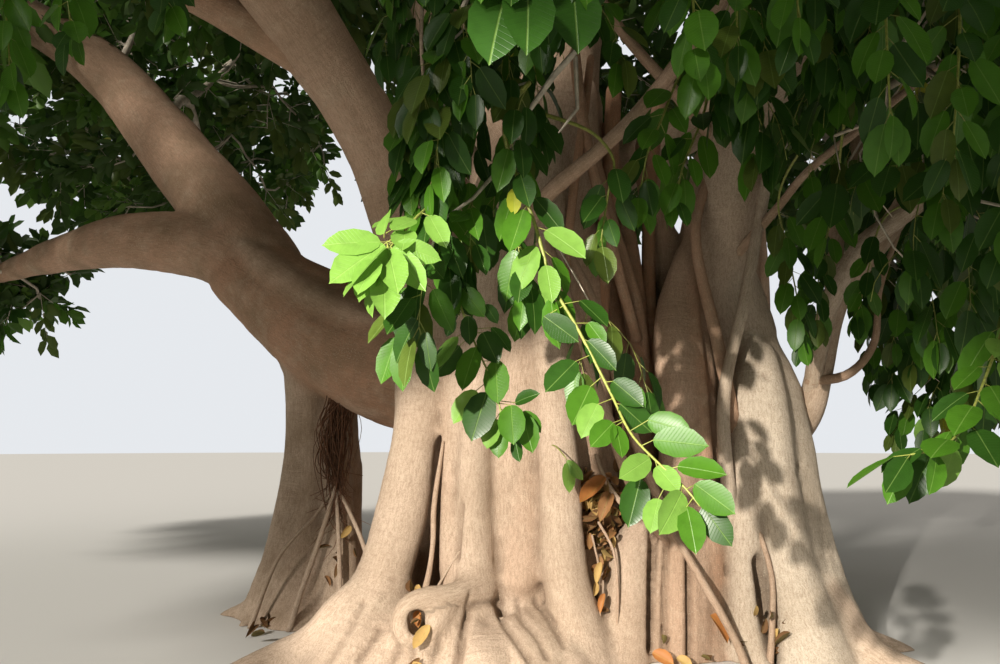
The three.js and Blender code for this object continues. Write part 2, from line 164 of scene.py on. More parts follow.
# Ribs, toes and roots that have grown into the front of the trunk.
TRUNK_RIBS = [
    rib([(-0.6, -0.66, 0.3), (-0.62, -0.58, 0.64), (-0.635, -0.52, 0.9), (-0.645, -0.48, 1.2),
        (-0.645, -0.44, 1.6), (-0.65, -0.38, 1.94), (-0.66, -0.28, 2.7)],
        [0.13, 0.1, 0.075, 0.07, 0.075, 0.085, 0.09], red=0.15),
    stem([(-0.5, -0.8, -0.3), (-0.44, -0.68, 0.3), (-0.45, -0.6, 0.85), (-0.455, -0.56, 1.38),
        (-0.44, -0.5, 1.94), (-0.38, -0.42, 2.8), (-0.28, -0.32, 3.7)],
        [0.24, 0.165, 0.13, 0.12, 0.13, 0.15, 0.15]),
    stem([(-0.12, -0.34, -0.4), (-0.12, -0.26, 0.6), (-0.12, -0.23, 1.8), (-0.06, -0.16, 2.9),
        (0.06, -0.08, 3.8)], [0.36, 0.33, 0.32, 0.32, 0.3], red=0.1),
    stem([(-0.58, -0.66, -0.2), (-0.56, -0.56, 0.3), (-0.55, -0.44, 0.6), (-0.555, -0.36, 0.86),
        (-0.56, -0.42, 1.12), (-0.56, -0.38, 1.9), (-0.5, -0.3, 2.8)],
        [0.26, 0.18, 0.12, 0.08, 0.13, 0.14, 0.14, 0.14]),
    rib([(-0.5, 0.02, -0.3), (-0.5, -0.02, 0.9), (-0.52, -0.06, 1.9), (-0.5, 0, 2.9), (-0.3, 0.06, 4.0)],
        [0.34, 0.2, 0.18, 0.2, 0.2], red=0.35),
    rib([(-0.25, -0.52, 0.3), (-0.25, -0.5, 0.7), (-0.25, -0.48, 1.15), (-0.25, -0.44, 1.7),
        (-0.2, -0.36, 2.6), (-0.08, -0.28, 3.4)], [0.08, 0.085, 0.09, 0.1, 0.12, 0.12], red=0.1),
    stem([(-0.09, -0.53, 0.6), (-0.08, -0.49, 0.75), (-0.07, -0.43, 1.23), (-0.07, -0.4, 1.78),
        (0, -0.34, 2.7), (0.1, -0.24, 3.6)], [0.15, 0.145, 0.12, 0.12, 0.13, 0.13], red=0.25),
    stem([(0.44, -0.82, -0.4), (0.34, -0.72, 0.17), (0.24, -0.64, 0.67), (0.21, -0.58, 1.38),
        (0.18, -0.54, 1.94), (0.14, -0.46, 2.76), (0.2, -0.32, 3.7), (0.28, -0.1, 4.5)],
        [0.28, 0.2, 0.165, 0.15, 0.15, 0.16, 0.17, 0.16]),
    rib([(0.42, -0.3, -0.3), (0.36, -0.22, 0.9), (0.34, -0.16, 2.0), (0.42, -0.08, 3.2)],
        [0.32, 0.2, 0.2, 0.2], red=0.45),
    # the knee: a swelling on the left, and folds beside it that run down to the right
    stem([(-0.12, -0.95, -0.5), (-0.12, -0.78, -0.1), (-0.12, -0.54, 0.2)], [0.4, 0.34, 0.24]),
    stem([(-0.32, -1.32, -0.4), (-0.33, -1.11, 0.02), (-0.375, -0.91, 0.25), (-0.385, -0.76, 0.3)],
        [0.22, 0.19, 0.16, 0.12]),
    stem([(0.08, -1.32, -0.3), (-0.02, -1.12, 0.05), (-0.15, -0.9, 0.25), (-0.22, -0.76, 0.33)],
        [0.12, 0.11, 0.09, 0.07]),
    stem([(0.22, -1.28, -0.3), (0.12, -1.08, 0.05), (0.0, -0.86, 0.26), (-0.09, -0.7, 0.35)],
        [0.12, 0.11, 0.09, 0.07]),
    stem([(0.38, -1.2, -0.3), (0.28, -1.02, 0.05), (0.14, -0.8, 0.27), (0.05, -0.62, 0.37)],
        [0.12, 0.11, 0.09, 0.07]),
    # toes of the left stem
    rib([(-1.52, -1.12, -0.4), (-1.38, -0.94, 0.04), (-1.22, -0.72, 0.4), (-1.1, -0.54, 0.8)],
        [0.36, 0.27, 0.2, 0.17]),
    rib([(-1.95, -0.92, -0.4), (-1.7, -0.74, 0.02), (-1.42, -0.6, 0.3), (-1.14, -0.5, 0.7)],
        [0.24, 0.17, 0.15, 0.13]),
    stem([(-1.14, -1.14, -0.5), (-1.1, -1.0, -0.1), (-1.06, -0.82, 0.2), (-1.02, -0.62, 0.42)],
        [0.32, 0.27, 0.2, 0.16]),
    stem([(-0.8, -1.14, -0.5), (-0.79, -1.02, -0.1), (-0.75, -0.86, 0.18), (-0.68, -0.7, 0.34)],
        [0.34, 0.27, 0.2, 0.16]),
    stem([(-0.6, -1.14, -0.5), (-0.58, -1.0, -0.1), (-0.55, -0.84, 0.24), (-0.52, -0.68, 0.5)],
        [0.32, 0.25, 0.19, 0.13]),
    # the curled root
    Strand([(-0.36, -0.5, 0.56), (-0.46, -0.72, 0.55), (-0.56, -0.86, 0.53), (-0.67, -0.94, 0.52),
        (-0.78, -0.98, 0.515), (-0.88, -1.0, 0.475), (-0.94, -1.01, 0.38), (-0.915, -1.02, 0.285),
        (-0.835, -1.02, 0.235), (-0.745, -1.0, 0.26), (-0.7, -0.96, 0.35), (-0.66, -0.9, 0.42)],
        [0.16, 0.13, 0.1, 0.088, 0.084, 0.084, 0.082, 0.08, 0.08, 0.084, 0.1, 0.11]),
    rib([(0.58, -0.62, -0.4), (0.65, -0.55, 0.13), (0.74, -0.45, 0.62), (0.88, -0.36, 1.12)],
        [0.3, 0.25, 0.2, 0.14], red=0.1),
    # the red strands of the inner right stem
    rib([(0.9, -0.62, -0.3), (0.96, -0.55, 0.42), (1.03, -0.42, 1.15), (1.12, -0.3, 1.8)],
        [0.1, 0.07, 0.06, 0.06], red=0.3),
    stem([(1.07, -0.68, -0.3), (1.14, -0.56, 0.42), (1.17, -0.42, 1.23), (1.19, -0.32, 2.0),
        (1.25, -0.14, 2.75), (1.42, 0.04, 3.3)], [0.13, 0.12, 0.14, 0.17, 0.16, 0.1], red=0.4),
    rib([(1.21, -0.66, -0.3), (1.27, -0.58, 0.42), (1.34, -0.46, 1.1), (1.36, -0.36, 1.9)],
        [0.08, 0.06, 0.055, 0.055], red=0.35),
    rib([(1.4, -0.5, 0.3), (1.4, -0.46, 0.85), (1.38, -0.42, 1.38), (1.38, -0.34, 1.94), (1.38, -0.2, 2.7),
        (1.44, -0.04, 3.25)], [0.09, 0.085, 0.08, 0.08, 0.08, 0.06], red=0.7),
    # the folds of the grey right stem
    rib([(1.57, -0.66, -0.3), (1.63, -0.54, 0.41), (1.67, -0.44, 1.15), (1.71, -0.3, 1.95)],
        [0.17, 0.13, 0.12, 0.1], grey=0.6),
    rib([(1.82, -0.34, 0.5), (1.82, -0.3, 0.95), (1.84, -0.25, 1.6), (1.92, -0.12, 2.5)],
        [0.2, 0.22, 0.22, 0.2], grey=0.8),
    stem([(2.14, -0.8, -0.4), (2.06, -0.66, 0.08), (1.98, -0.5, 0.63), (1.93, -0.42, 1.38),
        (1.95, -0.3, 2.0), (1.96, -0.16, 2.35)], [0.34, 0.25, 0.2, 0.18, 0.17, 0.13], grey=0.8),
    rib([(2.54, -0.52, -0.4), (2.45, -0.44, 0.0), (2.35, -0.34, 0.53), (2.29, -0.22, 1.14),
        (2.27, -0.12, 1.95)], [0.26, 0.18, 0.12, 0.1, 0.1], grey=0.9),
    stem([(2.14, -0.3, -0.4), (2.14, -0.24, 0.6), (2.14, -0.14, 1.4), (2.12, -0.04, 2.1)],
        [0.36, 0.3, 0.24, 0.18], grey=0.8),
    rib([(2.0, 0.14, 1.7), (1.96, 0.13, 2.35), (1.87, 0.1, 2.85), (1.8, 0.04, 3.4)],
        [0.3, 0.29, 0.25, 0.22], grey=0.5),
    # stems deeper in
    rib([(0.5, 0.0, -0.4), (0.52, -0.1, 0.8), (0.5, -0.12, 1.8), (0.46, -0.1, 2.9), (0.4, 0, 4.2)],
        [0.3, 0.24, 0.2, 0.18, 0.16], red=0.45),
    rib([(0.98, 0.3, -0.4), (0.94, 0.3, 1.2), (0.84, 0.26, 2.6), (0.66, 0.22, 4.2)],
        [0.26, 0.2, 0.17, 0.14], red=0.6),
    rib([(1.3, 0.5, 1.4), (1.3, 0.42, 2.6), (1.26, 0.34, 3.5), (1.1, 0.3, 4.5)], [0.16, 0.15, 0.15, 0.16],
        red=0.5),
    rib([(1.66, 0.5, -0.4), (1.62, 0.44, 1.2), (1.58, 0.36, 2.4), (1.66, 0.16, 3.6), (1.78, -0.12, 4.5)],
        [0.4, 0.3, 0.26, 0.24, 0.22], red=0.3),
    rib([(-0.3, 1.42, -0.3), (-0.25, 1.16, 0.8), (-0.2, 0.84, 2.0), (-0.12, 0.6, 3.2), (0.06, 0.48, 4.4)],
        [0.34, 0.24, 0.22, 0.22, 0.2], red=0.3),
    rib([(0.45, 1.45, -0.3), (0.42, 1.14, 0.8), (0.36, 0.84, 2.2), (0.3, 0.6, 3.4), (0.3, 0.46, 4.5)],
        [0.36, 0.25, 0.23, 0.22, 0.2], red=0.35),
    rib([(1.95, 0.92, -0.3), (1.8, 0.74, 0.9), (1.7, 0.54, 2.0), (1.7, 0.36, 3.0), (1.78, 0.1, 3.9)],
        [0.32, 0.22, 0.2, 0.2, 0.2], grey=0.4),
    rib([(-1.05, 0.85, -0.3), (-0.95, 0.72, 0.7), (-0.8, 0.56, 1.8), (-0.62, 0.42, 2.8), (-0.3, 0.36, 4.0)],
        [0.3, 0.2, 0.19, 0.2, 0.2], red=0.4),
]

# Cracks, creases and knots in the trunk's front: their line, their width and their depth, which also sets the
# painted shade in them.
DENTS = [
    # the mouth of the curled root, the crack above the knee and the thin crack in the rib
    ([(-0.835, -1.0, 0.4), (-0.825, -1.0, 0.34)], 0.032, 0.12),
    ([(-0.46, -0.8, 0.53), (-0.49, -0.86, 0.41)], 0.014, 0.03),
    ([(-0.545, -0.62, 1.13), (-0.565, -0.64, 0.94), (-0.575, -0.72, 0.74)], 0.018, 0.05),
    # the knee's left side and its folds
    ([(-0.47, -0.9, 0.4), (-0.49, -0.95, 0.34), (-0.514, -1.04, 0.24), (-0.54, -1.14, 0.1)], 0.022, 0.08),
    ([(-0.46, -0.82, 0.43), (-0.385, -0.8, 0.445), (-0.3, -0.76, 0.44), (-0.23, -0.7, 0.4)], 0.018, 0.05),
    ([(-0.26, -0.75, 0.4), (-0.235, -0.8, 0.34), (-0.15, -0.95, 0.257), (-0.045, -1.12, 0.14)], 0.02, 0.06),
    ([(-0.13, -0.7, 0.42), (-0.1, -0.75, 0.35), (0.0, -0.9, 0.266), (0.08, -1.08, 0.15)], 0.018, 0.05),
    ([(0.02, -0.64, 0.42), (0.11, -0.78, 0.33), (0.2, -0.92, 0.2)], 0.018, 0.05),
    # between the toes of the left stem
    ([(-1.23, -0.86, 0.46), (-1.3, -0.98, 0.3), (-1.4, -1.1, 0.14)], 0.024, 0.03),
    ([(-1.09, -0.95, 0.29), (-1.2, -1.09, 0.13)], 0.022, 0.03),
    ([(-0.95, -1.04, 0.21), (-0.98, -1.07, 0.1)], 0.018, 0.025),
    ([(-0.84, -1.08, 0.23), (-0.85, -1.09, 0.1)], 0.018, 0.025),
    ([(-0.66, -1.02, 0.28), (-0.71, -1.1, 0.1)], 0.018, 0.02),
    # the gaps between the red strands, and the slit in the grey stem
    ([(0.945, -0.5, 0.93), (0.9, -0.6, 0.5), (0.868, -0.68, 0.1)], 0.026, 0.12),
    ([(1.025, -0.55, 0.86), (0.982, -0.61, 0.43), (0.956, -0.67, 0.0)], 0.018, 0.07),
    ([(1.187, -0.62, 0.76), (1.158, -0.68, 0.37), (1.13, -0.74, 0.0)], 0.024, 0.11),
    ([(1.72, -0.59, 0.7), (1.735, -0.64, 0.43), (1.72, -0.78, 0.08)], 0.042, 0.18),
    # knots
    ([(1.91, -0.42, 2.14)], 0.035, 0.025), ([(2.13, -0.4, 1.42)], 0.03, 0.025),
    ([(2.1, -0.44, 1.36)], 0.025, 0.02),
]

# Roots that run out over the ground, each by its foot's place, its direction in degrees and its length.
GROUND_ROOTS = [
    ((-0.86, 1.4), 118, 0.9, 0.2), ((-0.86, 1.4), 158, 0.75, 0.16), ((-0.3, 1.5), 96, 0.85, 0.18),
    ((0.45, 1.5), 78, 0.9, 0.2), ((1.25, 1.4), 52, 0.95, 0.22), ((1.3, 1.3), 14, 0.8, 0.17),
    ((1.95, 0.9), 30, 0.8, 0.17), ((2.1, -0.1), -12, 0.85, 0.2), ((2.15, 0.2), 14, 0.75, 0.18),
    ((2.2, -0.4), -40, 0.8, 0.17), ((-1.3, -0.7), 192, 0.9, 0.17), ((-1.1, 0.4), 178, 0.8, 0.18),
]
PILLAR_ROOTS = [
    ((-2.1, 1.0), 186, 0.75, 0.19), ((-2.1, 1.0), 236, 0.7, 0.17), ((-2.05, 1.1), 96, 0.75, 0.18),
    ((-2.0, 0.9), -62, 0.65, 0.16), ((-2.05, 1.1), 140, 0.6, 0.15),
]


def ground_roots(rows):
    """Roots that leave a stem's foot and sink into the ground."""
    made = []
    for (x, y), degrees, reach, thick in rows:
        turn = math.radians(degrees)
        way = np.array([math.cos(turn), math.sin(turn), 0])
        side = np.array([-way[1], way[0], 0]) * (0.12 if degrees % 4 else -0.12)
        foot = np.array([x, y, 0])
        points = [
            foot - way * 0.1 + UP * 0.62, foot + way * 0.3 * reach + UP * 0.2,
            foot + way * 0.65 * reach + side + UP * 0.05,
            foot + way * reach + side * 0.3 - UP * 0.04, foot + way * reach * 1.25 - UP * 0.16,
        ]
        made.append(Strand(points, [thick * share for share in (1.1, 1, 0.7, 0.5, 0.4)], fade=0.4))
    return made


# The heavy boughs on the left, and the pillar and the stems that carry them.
LEFT_LIMBS = {
    "pillar_left": stem([(-2.04, 0.98, -0.5), (-2.02, 1.04, 0.5), (-2.0, 1.08, 1.25), (-2.06, 1.06, 2.1),
        (-2.12, 0.98, 2.9)], [0.58, 0.48, 0.38, 0.35, 0.37, 0.4], flutes=((4, 0.07, 0.9),),
        toes=((WEST + 0.4, 0.26, 0.5, 0.35), (SOUTH, 0.3, 0.5, 0.3)), red=0.1),
    "bough_left": Strand([(-0.1, 0.16, 2.2), (-0.95, 0.4, 2.26), (-1.6, 0.72, 2.5), (-2.3, 1.06, 2.95),
        (-2.95, 1.36, 3.4)], [0.52, 0.56, 0.58, 0.58, 0.55, 0.5, 0.42], red=0.75),
    "bough_left_low": Strand([(-2.7, 1.2, 3.3), (-3.4, 1.44, 3.68), (-4.3, 1.6, 3.82), (-5.5, 2.3, 3.86),
        (-7.2, 3.6, 3.9)], [0.36, 0.35, 0.29, 0.22, 0.17, 0.14], red=0.6),
    "bough_left_high": Strand([(-2.6, 1.2, 3.15), (-3.2, 1.58, 3.95), (-4.2, 2.0, 5.1), (-5.2, 2.1, 6.2),
        (-6.6, 1.6, 7.0)], [0.44, 0.43, 0.4, 0.35, 0.27, 0.2], red=0.55),
}
LEFT_RIBS = [
    rib([(-1.72, 0.56, -0.3), (-1.72, 0.66, 0.4), (-1.8, 0.78, 1.3), (-1.9, 0.78, 2.3)],
        [0.26, 0.17, 0.12, 0.1]),
    rib([(-2.5, 0.66, -0.3), (-2.34, 0.78, 0.5), (-2.22, 0.86, 1.5), (-2.26, 0.84, 2.5)],
        [0.24, 0.16, 0.13, 0.12]),
    Strand([(-1.2, 0.0, 2.62), (-1.7, 0.34, 2.78), (-2.4, 0.72, 3.2), (-3.0, 1.06, 3.7)],
        [0.14, 0.17, 0.17, 0.14], red=0.3, fade=0.7),
    Strand([(-0.9, 0.1, 1.9), (-1.5, 0.42, 2.02), (-2.0, 0.8, 2.3)], [0.16, 0.18, 0.16], red=0.3, fade=0.5),
]


def arched(start, end, rise, thick, thin, **details):
    """A bough that leaves its stem upwards and levels out toward the mass of leaves it carries."""
    start, end = np.array(start), np.array(end)
    bends = (start + (end - start) * share + rise * lift * UP for share, lift in ((0.3, 0.6), (0.65, 1)))
    points = [tuple(point) for point in (start, *bends, end)]
    return Strand(points, [thick + (thin - thick) * share for share in (0, 0.4, 0.75, 1)], **details)


# The boughs that carry the rest of the crown.
BOUGHS = {
    "bough_front_left_side": arched((-1.5, -0.7, 4.4), (-5.0, -1.0, 7.4), 0.5, 0.24, 0.13, red=0.2),
    "bough_right": Strand([(2.2, 0.06, 1.55), (2.42, 0.04, 1.85), (2.52, 0, 2.2), (2.68, -0.1, 2.85),
        (3.1, -0.3, 3.45), (3.6, -0.75, 4.35), (4.4, -1.9, 5.6)],
        [0.12, 0.11, 0.1, 0.092, 0.088, 0.085, 0.08]),
    "bough_right_side": Strand([(2.52, 0.02, 2.1), (2.72, 0.12, 2.7), (2.95, 0.4, 3.6), (3.5, 0.8, 4.9)],
        [0.09, 0.085, 0.075, 0.06], red=0.3),
    "bough_centre": Strand([(0.26, 0.22, 4.3), (0.34, 0.3, 5.4), (0.5, 0.5, 7.4), (0.45, 0.5, 9.0),
        (0.5, 0.5, 10.6)], [0.42, 0.38, 0.33, 0.27, 0.2], red=0.3),
    "bough_back_left": arched((0.05, 0.3, 4.1), (-2.4, 2.9, 8.8), 0.4, 0.34, 0.2, red=0.3),
    "bough_back_right": arched((0.3, 0.3, 3.9), (4.6, 4.5, 6.4), 0.5, 0.33, 0.17, red=0.3),
    "bough_back": arched((0.05, 0.2, 3.5), (-1.2, 5.8, 6.2), 0.5, 0.33, 0.17, red=0.3),
    "bough_right_high": arched((1.86, -0.42, 4.5), (6.2, 0, 6.9), 0.5, 0.26, 0.16, grey=0.2),
    "bough_front": arched((1.88, -0.62, 5.0), (0.8, -4.9, 7.4), 0.5, 0.24, 0.15, grey=0.2),
    "bough_right_up": arched((1.9, -0.66, 5.1), (3.4, -1.3, 9.0), 0.3, 0.25, 0.15, grey=0.2),
}

# The part of a bough, from its tip inwards, that bears branches.
BEARING_SHARE = {"bough_left": 0.0, "bough_centre": 0.75, "bough_right": 0.5, "bough_right_side": 0.5}

# Thin boughs and branches that show between the stems.
BRANCHES = [
    Strand([(0.02, -0.4, 3.42), (0.11, -0.64, 3.56), (0.53, -0.9, 3.86), (0.83, -1.0, 4.14),
        (1.25, -1.4, 4.61), (1.7, -2.0, 5.3)], [0.075, 0.065, 0.055, 0.055, 0.05, 0.04], red=0.3),
    Strand([(1.8, -0.1, 3.2), (2.02, -0.6, 3.5), (2.14, -0.9, 3.68), (2.42, -1.15, 3.9), (2.8, -1.5, 4.2),
        (3.2, -1.9, 4.5)], [0.05, 0.035, 0.03, 0.026, 0.02], red=0.3),
    Strand([(-1.62, -0.8, 4.6), (-1.87, -0.86, 4.72), (-2.25, -0.94, 4.9), (-2.7, -1.06, 5.1),
        (-3.4, -1.5, 5.3)], [0.2, 0.17, 0.14, 0.12, 0.08], red=0.6),
    Strand([(2.42, -0.06, 2.12), (2.7, -0.14, 2.17), (2.93, -0.16, 2.42), (3.02, -0.16, 2.9),
        (3.2, -0.2, 3.4)], [0.05, 0.036, 0.03, 0.026, 0.02], red=0.5),
    Strand([(1.6, -0.32, 4.2), (1.2, -0.6, 4.5), (0.7, -0.9, 4.9), (0.2, -1.4, 5.4)],
        [0.06, 0.05, 0.04, 0.03], red=0.4),
    Strand([(2.44, 0.02, 2.02), (2.45, -0.16, 2.36), (2.48, -0.34, 2.7), (2.735, -0.45, 3.2),
        (2.99, -0.5, 3.4), (3.29, -0.7, 3.69), (3.6, -1.1, 4.63)],
        [0.08, 0.08, 0.08, 0.078, 0.075, 0.07, 0.06], grey=0.4),
    Strand([(2.5, -1.23, 3.96), (2.53, -1.3, 4.3), (2.56, -1.34, 4.8)], [0.016, 0.018, 0.02], red=0.4),
    Strand([(-0.62, -2.85, 3.18), (-0.66, -2.82, 3.78), (-0.6, -2.7, 4.5), (-0.3, -2.2, 5.4),
        (0.2, -1.9, 6.2)], [0.008, 0.012, 0.018, 0.026, 0.03]),
]

# Roots that hang from the boughs, and those that have reached the ground and stand as posts.
ROOTS = {
    "root_post": Strand([(0.98, -0.04, -0.5), (1.0, 0, 0.9), (1.0, 0.04, 1.95), (0.92, 0.1, 3.3),
        (0.74, 0.2, 4.5)], [0.13, 0.1, 0.09, 0.085, 0.08], red=0.8),
    "root_post_behind": Strand([(0.74, -0.1, -0.5), (0.8, 0.08, 0.9), (0.84, 0.14, 1.95), (0.72, 0.14, 2.9),
        (0.52, 0.14, 4.1)], [0.14, 0.12, 0.11, 0.1, 0.09], red=0.8),
    "root_slant": Strand([(1.02, 0.02, 2.3), (0.96, -0.06, 2.72), (0.66, -0.2, 3.7), (0.48, -0.14, 4.5)],
        [0.05, 0.055, 0.06, 0.06], red=0.7),
    "root_string_front": Strand([(0.12, -0.5, 3.3), (0.26, -0.72, 2.8), (0.55, -0.74, 1.85),
        (0.84, -0.6, 1.1), (1.2, -0.4, 0.7)], [0.035, 0.04, 0.042, 0.045], red=0.4),
    "root_string_side": Strand([(0.3, -0.44, 3.2), (0.5, -0.64, 2.7), (0.74, -0.62, 1.8), (1.0, -0.5, 1.15),
        (1.22, -0.42, 0.9)], [0.03, 0.034, 0.038, 0.042], red=0.4),
    "root_right_inner": Strand([(1.62, -0.16, 4.0), (1.42, -0.28, 3.4), (1.56, -0.32, 2.4),
        (1.66, -0.34, 1.7), (1.68, -0.3, 0.9)], [0.045, 0.05, 0.054, 0.06], red=0.6),
    "root_right_leaning": Strand([(1.98, -0.5, 4.6), (2.04, -0.44, 4.0), (1.96, -0.42, 3.6),
        (1.76, -0.42, 2.74), (1.55, -0.46, 1.97), (1.53, -0.5, 1.4), (1.6, -0.44, 0.9)],
        [0.05, 0.05, 0.048, 0.048, 0.048, 0.052, 0.055], grey=0.5),
    "root_pillar_back": Strand([(3.3, 3.6, -0.5), (3.26, 3.5, 1.0), (3.15, 3.4, 3.0), (3.05, 3.1, 6.1)],
        [0.3, 0.17, 0.14, 0.16, 0.17], red=0.3),
    "root_pillar_far": Strand([(-1.0, 3.85, -0.5), (-0.96, 3.76, 1.0), (-0.9, 3.65, 3.0), (-0.8, 3.7, 5.6)],
        [0.28, 0.16, 0.13, 0.15, 0.16], red=0.3),
}

# Roots that wind up the two pillars behind the trunk, each by its pillar, its turn and its thickness.
WINDING_ROOTS = [
    ("root_pillar_back", 0.4, 0.075), ("root_pillar_back", 2.6, 0.06), ("root_pillar_back", 4.4, 0.085),
    ("root_pillar_far", 1.2, 0.07), ("root_pillar_far", 3.3, 0.08), ("root_pillar_far", 5.2, 0.055),
]


def winding_roots():
    """The roots that wind up the pillars, splayed at the foot."""
    made = []
    for name, start, thick in WINDING_ROOTS:
        pillar = ROOTS[name]
        points = []
        for i in range(9):
            share = i / 8
            spot = Vector(pillar.points[0]).lerp(Vector(pillar.points[-1]), share)
            radius = float(np.interp(share, np.linspace(0, 1, len(pillar.radii)), pillar.radii))
            turn = start + share * 2.2 + 0.3 * math.sin(i * 1.7 + start)
            reach = radius * 0.85 + 0.3 * max(0, 0.25 - share)
            points.append((spot.x + math.cos(turn) * reach, spot.y + math.sin(turn) * reach, spot.z))
        made.append(Strand(points, [thick * 1.5, thick, thick * 0.85, thick * 0.7], red=0.45))
    return made


# Finer roots: the strand in the slit, those that cross the dark between the stems, those that lean
# on the stems' feet, and the straight ones under the bunch of hair roots on the left pillar.
FINE_ROOTS = [
    Strand([(-0.7, -0.5, 1.6), (-0.76, -0.58, 1.09), (-0.76, -0.6, 0.87), (-0.78, -0.65, 0.65),
        (-0.82, -0.72, 0.45)], [0.014, 0.02, 0.022, 0.02, 0.03], red=0.2),
    Strand([(-0.5, -0.6, 0.86), (-0.6, -0.66, 0.72), (-0.7, -0.68, 0.56), (-0.76, -0.7, 0.45)],
        [0.012, 0.01, 0.01, 0.012]),
    Strand([(0.39, -0.5, 4.9), (0.45, -0.5, 4.29), (0.59, -0.45, 3.61), (0.75, -0.3, 3.02),
        (0.93, -0.06, 2.5)], [0.05, 0.05, 0.05, 0.048, 0.05], red=0.7),
    Strand([(0.54, -0.4, 4.9), (0.44, -0.5, 4.2), (0.35, -0.52, 3.59), (0.3, -0.48, 3.0), (0.3, -0.4, 2.5)],
        [0.035, 0.04, 0.04, 0.035, 0.03], red=0.8),
    Strand([(0.6, -0.1, 1.6), (0.62, -0.16, 2.6), (0.7, -0.12, 3.6), (0.8, 0, 4.8)],
        [0.06, 0.06, 0.07, 0.07], red=0.9),
    Strand([(1.16, 0.1, 1.4), (1.1, 0.16, 2.8), (1.16, 0.2, 4.1), (1.3, 0.2, 5.0)],
        [0.07, 0.06, 0.06, 0.07], red=0.9),
    Strand([(1.05, -0.62, 0.95), (1.2, -0.74, 0.66), (1.46, -0.8, 0.16), (1.54, -0.84, -0.1)],
        [0.028, 0.03, 0.03, 0.034], red=0.3),
    Strand([(1.75, -0.56, 0.9), (1.79, -0.64, 0.6), (1.75, -0.72, 0.3), (1.68, -0.78, -0.1)],
        [0.02, 0.022, 0.024, 0.03], red=0.3),
    Strand([(-1.75, 0.48, 1.2), (-1.86, 0.4, 0.75), (-1.99, 0.3, 0.29), (-2.08, 0.22, -0.1)],
        [0.02, 0.024, 0.026, 0.03]),
    Strand([(-1.75, 0.48, 1.2), (-1.7, 0.42, 0.8), (-1.66, 0.35, 0.4), (-1.64, 0.3, -0.1)],
        [0.018, 0.02, 0.024, 0.026]),
    Strand([(-1.75, 0.5, 1.2), (-1.6, 0.46, 0.95), (-1.45, 0.42, 0.62), (-1.34, 0.4, -0.1)],
        [0.018, 0.02, 0.022, 0.026]),
    Strand([(-1.76, 0.5, 1.2), (-1.92, 0.48, 0.95), (-2.2, 0.4, 0.62), (-2.46, 0.34, -0.1)],
        [0.016, 0.018, 0.02, 0.026]),
    Strand([(0.9, -0.52, 1.0), (0.72, -0.62, 1.1), (0.58, -0.6, 1.28), (0.5, -0.55, 1.5)],
        [0.03, 0.024, 0.02, 0.014], red=0.2),
    Strand([(0.5, -0.62, 1.0), (0.6, -0.66, 0.8), (0.62, -0.72, 0.5), (0.6, -0.74, 0.1),
        (0.62, -0.76, -0.1)], [0.012, 0.012, 0.01, 0.01, 0.01], red=0.3),
    Strand([(0.45, -0.62, 0.9), (0.5, -0.68, 0.6), (0.48, -0.76, 0.3), (0.52, -0.84, -0.1)],
        [0.01, 0.01, 0.01, 0.01], red=0.3),
]

# Wood that no curtain of leaves hides from the eye: the limb, how many of its points, and a margin.
SHOWN_WOOD = [
    (BRANCHES[5], 5, 0.0), (BRANCHES[1], 5, 0.0), (BRANCHES[0], 5, 0.04), (BRANCHES[3], 4, 0.0),
    (FINE_ROOTS[2], 5, 0.03), (FINE_ROOTS[3], 5, 0.03),
]
HAIR_ROOTS = {"top": (-1.73, 0.56, 2.12), "middle": (-1.8, 0.5, 1.6), "knot": (-1.75, 0.49, 1.15)}

# The sprays that hang before the trunk, each by its leading shoot.
SPRAYS = {
    "spray_left": [(-0.57, -2.9, 2.8), (-0.63, -3.2, 2.59), (-0.67, -3.45, 2.43), (-0.71, -3.6, 2.31)],
    "spray_middle": [(-0.62, -2.85, 3.18), (-0.58, -2.88, 2.79), (-0.49, -2.9, 2.43), (-0.43, -2.94, 2.22),
                     (-0.36, -2.98, 2.04), (-0.27, -3.0, 1.84), (-0.24, -3.02, 1.7)],
    "spray_right": [(-0.23, -2.95, 3.12), (-0.08, -2.96, 2.63), (0.0, -3.0, 2.33), (0.1, -3.1, 2.11),
                    (0.22, -3.25, 1.81), (0.28, -3.4, 1.63), (0.36, -3.52, 1.52), (0.44, -3.6, 1.43),
                    (0.48, -3.64, 1.37)],
    "spray_low_right": [(2.5, -2.6, 2.8), (2.28, -2.8, 2.3), (1.98, -3.0, 1.88), (1.76, -3.15, 1.65),
                        (1.58, -3.25, 1.57), (1.45, -3.3, 1.55)],
}

# Leaves that spread from one spot: the spot, the leaves' tips and their tone.
SPRAY_STARS = [
    ((-0.69, -3.58, 2.38), [
        (-0.93, -3.66, 2.36), (-0.91, -3.5, 2.45), (-0.89, -3.7, 2.2), (-0.84, -3.76, 2.14),
        (-0.77, -3.74, 2.13), (-0.62, -3.74, 2.15), (-0.53, -3.66, 2.18), (-0.48, -3.56, 2.31),
        (-0.72, -3.4, 2.56), (-0.58, -3.44, 2.5)], BRIGHT),
    ((0.234, -0.9, 1.487), [(0.26, -0.95, 1.24), (0.356, -0.93, 1.33)], BRIGHT),
    ((-0.187, -2.95, 2.88), [(-0.19, -3.0, 2.67)], YELLOW),
]

